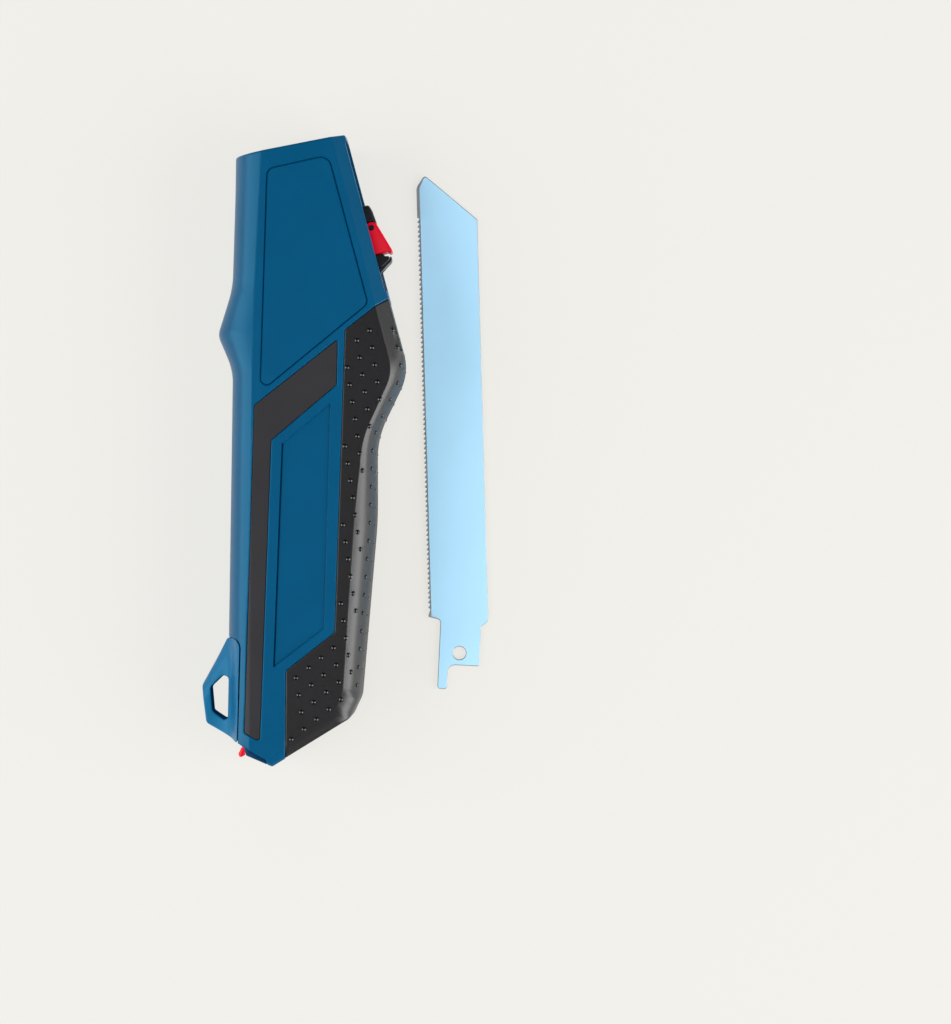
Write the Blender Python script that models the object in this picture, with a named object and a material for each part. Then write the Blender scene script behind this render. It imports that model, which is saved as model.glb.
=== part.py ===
"""Multipurpose hand saw: a two-shell handle that takes sabre-saw blades, with one blade beside it.

Metres, +Z up. The saw lies on its side: the flat side of the lower shell rests on Z = 0, +Y is the
front of the saw and +X is the palm side. The origin is on that flat side, under the head panel.
"""
import math

import bmesh
import bpy
from mathutils import Matrix, Vector

# Whole handle
BODY_THICK = 0.0300
PART_GAP = 0.0003
FIT = 0.0003
WALL = 0.0024
CORNER_STEPS = 4
LEAST_FILLET_SHARE = 0.1
FRONT_SPARE = 0.0060

# Outline at the parting plane, counter-clockwise from the front corner on the finger side:
# x, y, fillet radius, squareness of the edge that follows (0 rounded side, 1 square end)
HANDLE_OUTLINE = (
    (-0.0191, 0.0278, 0.0005, 0.0),
    (-0.0202, -0.0086, 0.0300, 0.0),
    (-0.0245, -0.0217, 0.0050, 0.0),
    (-0.0201, -0.0316, 0.0180, 0.0),
    (-0.0217, -0.1377, 0.0020, 1.0),
    (-0.0079, -0.1437, 0.0015, 1.0),
    (0.0144, -0.1301, 0.0040, 0.5),
    (0.0171, -0.1243, 0.0060, 0.0),
    (0.0214, -0.0744, 0.1200, 0.0),
    (0.0213, -0.0508, 0.0250, 0.0),
    (0.0303, -0.0320, 0.0160, 0.0),
    (0.0126, 0.0340, 0.0005, 0.0),
)
# Edge of the flat side, one corner for each corner of the outline: x, y, fillet radius
FLAT_OUTLINE = (
    (-0.0111, 0.0264, 0.0010),
    (-0.0129, -0.0086, 0.0300),
    (-0.0132, -0.0217, 0.0300),
    (-0.0136, -0.0316, 0.0300),
    (-0.0144, -0.1385, 0.0010),
    (-0.0087, -0.1417, 0.0010),
    (0.0104, -0.1267, 0.0030),
    (0.0121, -0.1219, 0.0060),
    (0.0152, -0.0743, 0.1200),
    (0.0177, -0.0513, 0.0280),
    (0.0261, -0.0328, 0.0120),
    (0.0091, 0.0314, 0.0010),
)
# Section from the edge of the flat (0, 1) out to the parting plane (1, 0)
ROUND_SECTION = ((0.0, 1.0), (0.38, 0.92), (0.68, 0.77), (0.88, 0.55), (0.97, 0.28), (1.0, 0.0))
SQUARE_SECTION = ((0.0, 1.0), (0.5, 0.975), (0.85, 0.93), (1.0, 0.86), (1.0, 0.45), (1.0, 0.0))

# Soft grip faces let into the shells
RUBBER_THICK = 0.0020
RUBBER_SINK = 0.00035
RUBBER_FLAT_SHARE = 0.4
PALM_REGION = (
    (0.0126, -0.0209, 0.0010),
    (0.0097, -0.1058, 0.0010),
    (-0.0040, -0.1166, 0.0010),
    (-0.0043, -0.1600, 0.0010),
    (0.0450, -0.1600, 0.0010),
    (0.0450, 0.0010, 0.0010),
    (0.0207, -0.0146, 0.0010),
)
STRIP_REGION = (
    (0.0105, -0.0236, 0.0008),
    (-0.0129, -0.0421, 0.0010),
    (-0.0158, -0.1340, 0.0008),
    (-0.0113, -0.1365, 0.0008),
    (-0.0081, -0.0519, 0.0010),
    (0.0102, -0.0364, 0.0008),
)
BADGE_REGION = (
    (0.0087, -0.0412, 0.0008),
    (-0.0052, -0.0528, 0.0008),
    (-0.0076, -0.1158, 0.0008),
    (0.0069, -0.1047, 0.0008),
)
BADGE_DEPTH = 0.0004
PANEL_REGION = (
    (-0.0095, 0.0244, 0.0015),
    (-0.0115, -0.0390, 0.0030),
    (0.0193, -0.0137, 0.0025),
    (0.0081, 0.0283, 0.0025),
)
PANEL_GROOVE = 0.0005
PANEL_GROOVE_DEPTH = 0.0005

# Saw blade, measured from its tang hole along its own length and across it, teeth at minus
BLADE_HOLE = (0.0445, -0.1133)
BLADE_LEAN = math.radians(1.6)
BLADE_THICK = 0.0009
BLADE_WIDTH = 0.0176
BLADE_TIP = 0.1400
BLADE_TIP_SLOPE = 0.0134
BLADE_TIP_INSET = 0.0025
BLADE_NOSE_SLOPE = 0.0035
BLADE_TOOTH_START = 0.0121
BLADE_TOOTH_PITCH = 0.00141
BLADE_TOOTH_COUNT = 82
BLADE_TOOTH_DEPTH = 0.0007
BLADE_TOOTH_FACE = 0.0004
BLADE_TANG_WIDTH = 0.0120
BLADE_TANG_LEAN = math.radians(4.3)
BLADE_TANG_END = 0.0036
BLADE_PRONG_LENGTH = 0.0071
BLADE_PRONG_WIDTH = 0.0029
BLADE_SHOULDER = 0.0080
BLADE_BACK_RISE = 0.0012
BLADE_TOOTH_SHOULDER = 0.0095
BLADE_TOOTH_RISE = 0.0013
BLADE_HOLE_DIAMETER = 0.0038
BLADE_FILLET = 0.0008
BLADE_SHOULDER_FILLET = 0.0012
BLADE_PRONG_FILLET = 0.0020
BLADE_NOSE_FILLET = 0.0030

# Blade storage along the finger side, blades standing on edge
STORAGE_LEFT = -0.0152
STORAGE_DEPTH = 0.0054
STORAGE_SLACK = 0.0024
STORAGE_FRONT = 0.0140

# Weight-saving pockets between the storage, the palm wall and the screw bosses: x range, y range
POCKETS = (
    ((-0.0070, 0.0062), (-0.0400, -0.0220)),
    ((0.0092, 0.0190), (-0.0400, -0.0220)),
    ((-0.0078, 0.0000), (-0.0655, -0.0470)),
    ((0.0030, 0.0110), (-0.0655, -0.0470)),
    ((-0.0078, 0.0000), (-0.0915, -0.0735)),
    ((0.0030, 0.0110), (-0.0915, -0.0735)),
    ((-0.0078, 0.0000), (-0.1150, -0.0995)),
    ((0.0030, 0.0100), (-0.1170, -0.0995)),
)

# Screws, driven from the lower shell
SCREW_PLACES = (
    (-0.0130, 0.0212),
    (-0.0050, -0.0050),
    (0.0075, -0.0150),
    (0.0015, -0.0695),
    (0.0015, -0.0955),
    (-0.0067, -0.1240),
)
SCREW_SHANK_RADIUS = 0.00125
SCREW_HEAD_RADIUS = 0.0023
SCREW_HEAD_HEIGHT = 0.0018
SCREW_SEAT = 0.0045
SCREW_LENGTH = 0.0180
SCREW_CHAMFER = 0.0004
SCREW_CROSS = (0.0015, 0.0004)
SCREW_CROSS_DEPTH = 0.0009

# Thumb carriage in the head: distances along the slot (forward) and out from the palm edge
LEVER_PIN_BACK = 0.0259
LEVER_PIN_OUT = 0.0002
CARRIAGE_TRAVEL = 0.0150
SLOT_HALF = 0.0040
SLOT_LIP_BACK = 0.0007
SLOT_FRONT_SPARE = 0.0029
SLOT_BACK_SPARE = 0.0014
BLADE_LINE = 0.0130
BAY_OUTER = 0.0028
BAY_INNER = 0.0224
BAY_SPARE = 0.0022
BAY_LOW = 0.0106
BAY_HIGH = 0.0043
PEG_BAY_HIGH = 0.0122
PEG_BAY_OUTER = 0.0072
GUIDE_DEPTH = 0.0034
GUIDE_RIM = 0.0016
GUIDE_MOUTH = 0.0054
CARRIAGE_FRONT = 0.0035
CARRIAGE_BACK = 0.0095
SLAB_TOP = 0.0008
SLAB_THICK = 0.0062
BRIDGE_BOTTOM = 0.0086
BRIDGE_THICK = 0.0011
SPINE_THICK = 0.0025
TONGUE_HALF = 0.0013
TONGUE_RADIUS = 0.0013
TONGUE_FILLET = 0.0012
NOSE_PROFILE = (
    (0.0023, -0.0026, 0.0002),
    (0.0066, -0.0026, 0.0002),
    (0.00655, 0.00115, 0.0009),
    (0.0046, 0.0017, 0.0020),
    (0.0010, 0.0020, 0.0002),
)
HOOK_PROFILE = (
    (-0.0114, -0.0026, 0.0002),
    (-0.0081, -0.0026, 0.0002),
    (-0.0081, 0.0013, 0.0003),
    (-0.0090, 0.0017, 0.0003),
    (-0.0093, 0.0028, 0.0002),
    (-0.0100, 0.0027, 0.0003),
    (-0.0110, 0.0010, 0.0004),
    (-0.0114, 0.0002, 0.0002),
)
NECK_FLOOR = 0.0021
STRIP_ROUTE = (
    (-0.0093, 0.0028),
    (-0.0100, 0.0027),
    (-0.0110, 0.0010),
    (-0.0121, -0.0012),
    (-0.0129, -0.0013),
    (-0.0177, -0.0013),
)
STRIP_THICK = 0.0005

# Red lock lever on the carriage
LEVER_KNUCKLE = 0.00183
LEVER_PROFILE = (
    (0.0017, -0.0008, 0.0012),
    (LEVER_KNUCKLE, 0.00158, LEVER_KNUCKLE),
    (-0.0073, 0.0042, 0.0004),
    (-0.0080, 0.0043, 0.0003),
    (-0.0083, 0.0037, 0.0002),
    (-0.0077, 0.0029, 0.0002),
    (-0.0078, 0.0015, 0.0003),
    (-0.0077, -0.0009, 0.0003),
    (-0.0015, -0.0015, 0.0008),
)
KNUCKLE_SIDES = 24
LEVER_HALF = 0.0033
LEVER_CHEEK = 0.0017
LEVER_SWING = math.radians(35.0)
LEVER_PIN_RADIUS = 0.0008
ARM_THICK = 0.0008
RAMP_LEAD = 0.0006
RAMP_WIDTH = 0.0017
RAMP_STEPS = 7
RAMP_CLEAR = math.radians(1.0)
RAMP_HELD = 0.55
PEG_BACK = 0.0030
PEG_RADIUS = 0.00175
PEG_TIP = 0.0014
PEG_CHAMFER = 0.00045
PEG_LIFT = 0.0024
PEG_TOP = 0.0094
COLLAR_RADIUS = 0.0032
COLLAR_THICK = 0.0012
PEG_SPRING_RADIUS = 0.0026
PEG_SPRING_WIRE = 0.0004
PEG_SPRING_TURNS = 4
COIL_POINTS = 10
LEAF_THICK = 0.00035
LEAF_WIDTH = 0.0060
LEAF_LENGTH = 0.0100
LEAF_STEPS = 8

# Storage lid on the lower end face: distances along the end face from its tip, and in from it
LID_HINGE = (0.0015, 0.0020)
LID_BARREL_RADIUS = 0.0018
LID_BARREL_STEPS = 14
LID_PIN_RADIUS = 0.0008
LID_PIN_COVER = 0.0015
LID_FACE = 0.0002
LID_THICK = 0.0024
LID_END = 0.0109
LID_LAP = 0.0005
LID_CHEEK_FACE = (0.00145, 0.0001)
LID_CHEEK = (0.0024, 0.0013)
LID_MOUTH_DEPTH = 0.0023
LID_NOTCH_END = 0.0116
LATCH_HALF = 0.0027
LATCH_SPRING_ROOM = 0.0020
LATCH_START = 0.0075
LATCH_BODY_END = 0.0098
LATCH_TIP = 0.0113
LATCH_TRAVEL = 0.0015
LATCH_KNOB = (
    (0.0090, 0.0008, 0.0003),
    (0.0090, -0.0017, 0.0006),
    (0.0097, -0.0026, 0.0006),
    (0.0105, -0.0027, 0.0007),
    (0.0109, -0.0019, 0.0008),
    (0.0107, 0.0008, 0.0003),
)
LATCH_KNOB_HALF = 0.0016
LATCH_FLANGE = (0.0060, 0.0086)
LATCH_FLANGE_HALF = 0.0040
LATCH_FLANGE_THICK = 0.0007
LATCH_SPRING_RADIUS = 0.0007
LATCH_SPRING_WIRE = 0.0003
LATCH_SPRING_TURNS = 3

# Hanging loop on the finger side of the butt
LOOP_OUTLINE = (
    (-0.0214, -0.1078, 0.0010),
    (-0.0290, -0.1214, 0.0015),
    (-0.0276, -0.1321, 0.0015),
    (-0.0180, -0.1373, 0.0005),
    (-0.0171, -0.1078, 0.0025),
)
LOOP_HOLE = (
    (-0.0226, -0.1183, 0.0014),
    (-0.0264, -0.1220, 0.0012),
    (-0.0258, -0.1288, 0.0012),
    (-0.0213, -0.1320, 0.0010),
    (-0.0210, -0.1191, 0.0012),
)
# Half thickness of the loop across it: x, half thickness
LOOP_TAPER = ((-0.0160, 0.0136), (-0.0181, 0.0120), (-0.0213, 0.0052), (-0.0300, 0.0028))
LOOP_TAB_NECK = (-0.0196, -0.0180)
LOOP_TAB_NECK_HEIGHT = 0.0025
LOOP_TAB_HEAD = (-0.0199, -0.0175)
LOOP_TAB_HEAD_HEIGHT = 0.0022
LOOP_TAB_HALF = 0.0040

# Derived places
MID = BODY_THICK / 2
PART_HALF = PART_GAP / 2
OUTSIDE = BODY_THICK
STORAGE_HALF = (BLADE_WIDTH + STORAGE_SLACK) / 2
LID_HALF = STORAGE_HALF + LID_LAP
LATCH_SLOT_START = LATCH_START - LATCH_TRAVEL - LATCH_SPRING_ROOM
SLOT_FRONT = NOSE_PROFILE[1][0] + CARRIAGE_TRAVEL + SLOT_FRONT_SPARE
SLOT_BACK = SLOT_BACK_SPARE - STRIP_ROUTE[-1][0]
BAY_BACK = CARRIAGE_BACK + BAY_SPARE


def srgb(red, green, blue):
    """Linear colour from 8-bit display values."""
    channels = []
    for value in (red, green, blue):
        share = value / 255
        channels.append(share / 12.92 if share <= 0.04045 else ((share + 0.055) / 1.055) ** 2.4)
    return (*channels, 1.0)


def material(name, colour, roughness, metallic=0.0):
    made = bpy.data.materials.new(name)
    made.use_nodes = True
    shader = made.node_tree.nodes["Principled BSDF"]
    shader.inputs["Base Color"].default_value = srgb(*colour)
    shader.inputs["Roughness"].default_value = roughness
    shader.inputs["Metallic"].default_value = metallic
    return made


def clear_scene():
    for old in list(bpy.data.objects):
        bpy.data.objects.remove(old, do_unlink=True)


# Plane geometry


def line_offset_corner(before, corner, after, distance):
    """The corner moved so that both of its edges shift to their left by a distance."""
    first = (Vector(corner[:2]) - Vector(before[:2])).normalized()
    second = (Vector(after[:2]) - Vector(corner[:2])).normalized()
    normal_one = Vector((-first.y, first.x))
    normal_two = Vector((-second.y, second.x))
    bisector = normal_one + normal_two
    return Vector(corner[:2]) + bisector * (distance / (1 + normal_one.dot(normal_two)))


def turn(before, corner, after):
    first = Vector(corner[:2]) - Vector(before[:2])
    second = Vector(after[:2]) - Vector(corner[:2])
    return math.atan2(first.x * second.y - first.y * second.x, first.dot(second))


def inset(corners, distance):
    """A counter-clockwise outline drawn in by a distance, its fillets staying concentric."""
    moved = []
    for i, corner in enumerate(corners):
        before = corners[i - 1]
        after = corners[(i + 1) % len(corners)]
        place = line_offset_corner(before, corner, after, distance)
        convex = turn(before, corner, after) > 0
        radius = corner[2] - distance if convex else corner[2] + distance
        moved.append((place.x, place.y, max(radius, LEAST_FILLET_SHARE * corner[2]), *corner[3:]))
    return moved


def corner_arcs(corners, steps=CORNER_STEPS):
    """For each x, y, radius corner, the points of its fillet."""
    arcs = []
    for i, corner in enumerate(corners):
        before = corners[i - 1]
        after = corners[(i + 1) % len(corners)]
        here = Vector(corner[:2])
        back = (Vector(before[:2]) - here).normalized()
        ahead = (Vector(after[:2]) - here).normalized()
        angle = turn(before, corner, after)
        reach = corner[2] * abs(math.tan(angle / 2))
        centre = here + (back + ahead).normalized() * corner[2] / max(math.cos(angle / 2), 1e-6)
        start = here + back * reach - centre
        points = []
        for step in range(steps + 1):
            swing = Matrix.Rotation(angle * step / steps, 2)
            points.append(centre + swing @ start)
        arcs.append(points)
    return arcs


def rounded(corners, steps=2):
    return [point for arc in corner_arcs(corners, steps) for point in arc]


def rectangle(x_range, y_range):
    left, right = x_range
    bottom, top = y_range
    return [Vector(corner) for corner in ((left, bottom), (right, bottom), (right, top), (left, top))]


def circle(centre, radius, sides=16):
    turns = [math.tau * i / sides for i in range(sides)]
    return [Vector((centre[0] + radius * math.cos(t), centre[1] + radius * math.sin(t))) for t in turns]


def ribbon(route, near, far):
    """Outline of a strip that follows a route, between two distances on its right-hand side."""
    sides = []
    for distance in (near, far):
        points = []
        for i, place in enumerate(route):
            here = Vector(place)
            before = Vector(route[i - 1]) if i else here * 2 - Vector(route[i + 1])
            after = Vector(route[i + 1]) if i + 1 < len(route) else here * 2 - before
            points.append(line_offset_corner(before, here, after, -distance))
        sides.append(points)
    return sides[0] + sides[1][::-1]


# Frames that outlines are drawn in: each turns two plane coordinates and a height into a place

FRONT_CORNER = Vector(HANDLE_OUTLINE[-1][:2])
PALM_CORNER = Vector(HANDLE_OUTLINE[-2][:2])
FORWARD = (FRONT_CORNER - PALM_CORNER).normalized()
OUTWARD = Vector((FORWARD.y, -FORWARD.x))
HEAD_ORIGIN = FRONT_CORNER - FORWARD * LEVER_PIN_BACK
END_TIP = Vector(HANDLE_OUTLINE[5][:2])
END_ALONG = (Vector(HANDLE_OUTLINE[4][:2]) - END_TIP).normalized()
END_IN = Vector((END_ALONG.y, -END_ALONG.x))
BLADE_UP = Vector((-math.sin(BLADE_LEAN), math.cos(BLADE_LEAN)))
BLADE_ACROSS = Vector((BLADE_UP.y, -BLADE_UP.x))


def flat(p, q, height):
    return Vector((p, q, height))


def head(forward, out, height):
    """Along the thumb slot from the lever pin, out from the palm edge, up from the parting plane."""
    place = HEAD_ORIGIN + FORWARD * forward + OUTWARD * out
    return Vector((place.x, place.y, MID + height))


def head_section(forward, height, out):
    return head(forward, out, height)


def head_profile(out, height, forward):
    return head(forward, out, height)


def end(along, depth, height):
    """Along the lower end face from its tip, in from it, up from the parting plane."""
    place = END_TIP + END_ALONG * along + END_IN * depth
    return Vector((place.x, place.y, MID + height))


def blade(up, across, height):
    place = Vector(BLADE_HOLE) + BLADE_UP * up + BLADE_ACROSS * across
    return Vector((place.x, place.y, height))


# Meshes


def new_object(name, mesh, look=None):
    made = bpy.data.objects.new(name, mesh)
    bpy.context.scene.collection.objects.link(made)
    if look is None:
        made.hide_render = True
        made.display_type = 'WIRE'
    else:
        mesh.materials.append(look)
    return made


def finish_mesh(name, work, look, twisted=False):
    """Close a working mesh; faces that aren't flat are split into triangles first."""
    if twisted:
        bmesh.ops.triangulate(work, faces=work.faces)
    bmesh.ops.recalc_face_normals(work, faces=work.faces)
    mesh = bpy.data.meshes.new(name)
    work.to_mesh(mesh)
    work.free()
    return new_object(name, mesh, look)


def extrude(name, outline, low, high, frame=flat, look=None):
    """A straight solid over an outline, between two heights of a frame."""
    work = bmesh.new()
    base = work.faces.new([work.verts.new(frame(p[0], p[1], low)) for p in outline])
    lifted = bmesh.ops.extrude_face_region(work, geom=[base])
    rise = frame(0, 0, high) - frame(0, 0, low)
    raised = [part for part in lifted["geom"] if isinstance(part, bmesh.types.BMVert)]
    bmesh.ops.translate(work, vec=rise, verts=raised)
    return finish_mesh(name, work, look)


def rod(name, centre, stations, frame=flat, look=None, sides=16):
    """A turned solid about a line square to a frame: stations of height and radius."""
    work = bmesh.new()
    rings = []
    for height, radius in stations:
        rings.append([work.verts.new(frame(p.x, p.y, height)) for p in circle(centre, radius, sides)])
    work.faces.new(rings[0])
    work.faces.new(rings[-1])
    for lower, upper in zip(rings, rings[1:]):
        for i in range(sides):
            j = (i + 1) % sides
            work.faces.new((lower[i], lower[j], upper[j], upper[i]))
    return finish_mesh(name, work, look)


def group(name, pieces):
    """Several separate cutters as one."""
    work = bmesh.new()
    for piece in pieces:
        work.from_mesh(piece.data)
        bpy.data.objects.remove(piece, do_unlink=True)
    return finish_mesh(name, work, None)


def combine(target, tool, operation):
    step = target.modifiers.new(f"{operation.lower()}_{tool.name}", 'BOOLEAN')
    step.operation = operation
    step.solver = 'EXACT'
    step.object = tool


def cut(target, *tools):
    for tool in tools:
        combine(target, tool, 'DIFFERENCE')


def join(target, *tools):
    for tool in tools:
        combine(target, tool, 'UNION')


def move_origin(piece, place):
    """Put a piece's origin on its joint without moving the piece."""
    piece.data.transform(Matrix.Translation(-Vector(place)))
    piece.location = place


def shade(piece, degrees=35):
    piece.data.shade_smooth()
    piece.data.set_sharp_from_angle(angle=math.radians(degrees))


# Handle form


def lengthened(corners):
    """An outline whose two front corners run on past the front face, which is cut square afterwards."""
    first = Vector(corners[0][:2])
    last = Vector(corners[-1][:2])
    first += (first - Vector(corners[1][:2])).normalized() * FRONT_SPARE
    last += (last - Vector(corners[-2][:2])).normalized() * FRONT_SPARE
    return ((*first, *corners[0][2:]), *corners[1:-1], (*last, *corners[-1][2:]))


def half_form(name, side, height, edge_inset, flat_inset, low, look=None):
    """One side of the handle, from its flat down to a distance from the parting plane."""
    outer_arcs = corner_arcs(inset(lengthened(HANDLE_OUTLINE), edge_inset))
    inner_arcs = corner_arcs(inset(lengthened(FLAT_OUTLINE), flat_inset))
    columns = []
    for i, corner in enumerate(HANDLE_OUTLINE):
        before = HANDLE_OUTLINE[i - 1][3]
        after = corner[3]
        for step, (rim, edge) in enumerate(zip(outer_arcs[i], inner_arcs[i])):
            square = before + (after - before) * step / CORNER_STEPS
            columns.append((rim, edge, square))
    work = bmesh.new()
    rings = []
    for (f_round, g_round), (f_square, g_square) in zip(ROUND_SECTION, SQUARE_SECTION):
        ring = []
        for rim, edge, square in columns:
            share = f_round + (f_square - f_round) * square
            rise = g_round + (g_square - g_round) * square
            place = edge.lerp(rim, share)
            level = low if g_round == 0.0 else rise * height
            ring.append(work.verts.new((place.x, place.y, MID + side * level)))
        rings.append(ring)
    work.faces.new(rings[0])
    work.faces.new(rings[-1])
    count = len(columns)
    for upper, lower in zip(rings, rings[1:]):
        for i in range(count):
            j = (i + 1) % count
            work.faces.new((upper[i], upper[j], lower[j], lower[i]))
    return finish_mesh(name, work, look, twisted=True)


def grip_core(name, side, clearance):
    """The floor that the soft grip faces sit on."""
    depth = RUBBER_THICK - clearance
    return half_form(name, side, MID - depth, depth, depth * RUBBER_FLAT_SHARE, -2 * PART_GAP)


def grip_face(name, side, region, look):
    """A soft grip face: the handle's own surface over a region, down to the floor of its recess."""
    piece = half_form(name, side, MID - RUBBER_SINK, 0.0, 0.0, PART_HALF, look)
    fence = extrude(f"{name}_fence", rounded(inset(region, FIT)), -OUTSIDE, 2 * OUTSIDE)
    combine(piece, fence, 'INTERSECT')
    cut(piece, grip_core(f"{name}_core", side, FIT))
    shade(piece)
    return piece


def grip_recess(name, side, region):
    recess = extrude(name, rounded(region), -OUTSIDE, 2 * OUTSIDE)
    cut(recess, grip_core(f"{name}_floor", side, 0.0))
    return recess


# Cutters that both shells share


def inside_cutters():
    storage = extrude(
        "storage_cut",
        rectangle((STORAGE_LEFT, STORAGE_LEFT + STORAGE_DEPTH), (END_TIP.y - OUTSIDE, STORAGE_FRONT)),
        MID - STORAGE_HALF,
        MID + STORAGE_HALF,
    )
    pocket_half = MID - RUBBER_THICK - WALL
    hollows = []
    for i, ranges in enumerate(POCKETS):
        hollows.append(extrude(f"pocket_{i}", rectangle(*ranges), MID - pocket_half, MID + pocket_half))
    pockets = group("pocket_cuts", hollows)
    bay_front = guide_back() + FIT
    bay_outline = rectangle((-BAY_BACK, bay_front), (-BAY_INNER, -BAY_OUTER))
    bay = extrude("bay_cut", bay_outline, -BAY_LOW, BAY_HIGH, head)
    peg_outline = rectangle((-BAY_BACK + FIT, bay_front - 2 * FIT), (-BAY_INNER + FIT / 2, -PEG_BAY_OUTER))
    peg_bay = extrude("peg_bay_cut", peg_outline, BAY_HIGH - WALL, PEG_BAY_HIGH, head)
    slot_outline = rectangle((-SLOT_BACK, SLOT_FRONT), (-BAY_OUTER - WALL, WALL))
    slot = extrude("slot_cut", slot_outline, -SLOT_HALF, SLOT_HALF, head)
    guide = extrude("guide_cut", guide_outline(-FIT, OUTSIDE), -guide_half() - FIT, guide_half() + FIT, head)
    notch = extrude(
        "lid_notch_cut",
        rectangle((-OUTSIDE, LID_NOTCH_END), (-OUTSIDE, LID_FACE + LID_THICK + FIT)),
        -LID_HALF - FIT,
        LID_HALF + FIT,
        end,
    )
    mouth_end = LID_NOTCH_END + FIT
    mouth_corners = (
        (LID_CHEEK_FACE[0], -OUTSIDE),
        (mouth_end, -OUTSIDE),
        (mouth_end, LID_MOUTH_DEPTH),
        LID_CHEEK,
        LID_CHEEK_FACE,
    )
    mouth = extrude("lid_mouth_cut", mouth_corners, -OUTSIDE, OUTSIDE, end)
    barrel = extrude(
        "lid_barrel_cut",
        circle(LID_HINGE, LID_BARREL_RADIUS + FIT, 20),
        -LID_HALF - FIT,
        LID_HALF + FIT,
        end,
    )
    pin_reach = MID - LID_PIN_COVER + FIT
    pin = extrude("lid_pin_cut", circle(LID_HINGE, LID_PIN_RADIUS + FIT, 12), -pin_reach, pin_reach, end)
    seam_bottom = Vector(LOOP_OUTLINE[3][:2])
    seam_top = Vector(LOOP_OUTLINE[4][:2])
    below = 2 * seam_bottom - seam_top
    seam = ((*below, FIT), LOOP_OUTLINE[4], (-2 * OUTSIDE, seam_top.y, FIT), (-2 * OUTSIDE, below.y, FIT))
    loop = extrude("loop_cut", rounded(inset(seam, -FIT), CORNER_STEPS), -OUTSIDE, 2 * OUTSIDE)
    tab = extrude("loop_tab_cut", loop_tab(FIT), MID - LOOP_TAB_HALF - FIT, MID + LOOP_TAB_HALF + FIT)
    front_corners = (
        (front_face(-2 * OUTSIDE), -2 * OUTSIDE),
        (front_face(OUTSIDE), OUTSIDE),
        (front_face(OUTSIDE) + OUTSIDE, OUTSIDE),
        (front_face(-2 * OUTSIDE) + OUTSIDE, -2 * OUTSIDE),
    )
    front = extrude("front_cut", front_corners, -OUTSIDE, OUTSIDE, head)
    return [front, storage, pockets, bay, peg_bay, slot, guide, notch, mouth, barrel, pin, loop, tab]


def screw_cutter():
    bores = []
    for i, place in enumerate(SCREW_PLACES):
        stations = (
            (-OUTSIDE, SCREW_HEAD_RADIUS + FIT),
            (SCREW_SEAT + FIT, SCREW_HEAD_RADIUS + FIT),
            (SCREW_SEAT + FIT, SCREW_SHANK_RADIUS + FIT),
            (SCREW_SEAT + SCREW_LENGTH + FIT, SCREW_SHANK_RADIUS + FIT),
        )
        bores.append(rod(f"screw_bore_{i}", place, stations, sides=12))
    return group("screw_cuts", bores)


def shell(name, side, look, shared):
    """Half of the handle: the outer form less its recesses, pockets and bores."""
    piece = half_form(name, side, MID, 0.0, 0.0, PART_HALF, look)
    cut(piece, grip_recess(f"{name}_palm_recess", side, PALM_REGION))
    cut(piece, grip_recess(f"{name}_strip_recess", side, STRIP_REGION))
    face = MID + side * MID
    badge = sorted((face - side * BADGE_DEPTH, face + side * OUTSIDE))
    cut(piece, extrude(f"{name}_badge_cut", rounded(BADGE_REGION), *badge))
    groove_depth = sorted((face - side * PANEL_GROOVE_DEPTH, face + side * OUTSIDE))
    groove = extrude(f"{name}_groove_cut", rounded(PANEL_REGION), *groove_depth)
    inside = rounded(inset(PANEL_REGION, PANEL_GROOVE))
    island = extrude(f"{name}_groove_island", inside, -2 * OUTSIDE, 3 * OUTSIDE)
    cut(groove, island)
    cut(piece, groove)
    cut(piece, *shared)
    if side > 0:
        lip_outline = rectangle((-SLOT_BACK, SLOT_FRONT), (-SLOT_LIP_BACK, WALL))
        cut(piece, extrude("slot_lip_cut", lip_outline, 0.0, OUTSIDE, head))
    shade(piece)
    return piece


# Pieces of the head


def guide_half():
    return GUIDE_MOUTH / 2 + GUIDE_RIM


def front_face(out):
    """How far forward the front face lies at a distance out from the palm edge."""
    back_corner = Vector(HANDLE_OUTLINE[0][:2]) - HEAD_ORIGIN
    front_corner = FRONT_CORNER - HEAD_ORIGIN
    share = (out - front_corner.dot(OUTWARD)) / (back_corner.dot(OUTWARD) - front_corner.dot(OUTWARD))
    return front_corner.dot(FORWARD) + share * (back_corner.dot(FORWARD) - front_corner.dot(FORWARD))


def guide_outer():
    return -BLADE_LINE + BLADE_WIDTH / 2 + FIT + GUIDE_RIM


def guide_back():
    return front_face(guide_outer()) - GUIDE_DEPTH


def guide_outline(shrink, past):
    """Plan of the ring in the front face: drawn in by one distance, running past the face by another."""
    outer = guide_outer() - shrink
    inner = -2 * BLADE_LINE - outer
    back = guide_back() + shrink
    corners = (
        (back, inner),
        (front_face(inner) - FIT + past, inner),
        (front_face(outer) - FIT + past, outer),
        (back, outer),
    )
    return [Vector(corner) for corner in corners]


def nose_guide(look):
    piece = extrude("nose_guide", guide_outline(0.0, 0.0), -guide_half(), guide_half(), head, look)
    half = BLADE_WIDTH / 2 + FIT
    mouth = rectangle((-OUTSIDE, 2 * OUTSIDE), (-BLADE_LINE - half, -BLADE_LINE + half))
    cut(piece, extrude("guide_mouth_cut", mouth, -GUIDE_MOUTH / 2, GUIDE_MOUTH / 2, head))
    return piece


def peg_place():
    return (-PEG_BACK, -BLADE_LINE)


def collar_bottom():
    return LEVER_CHEEK + RAMP_LEAD + FIT


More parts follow.
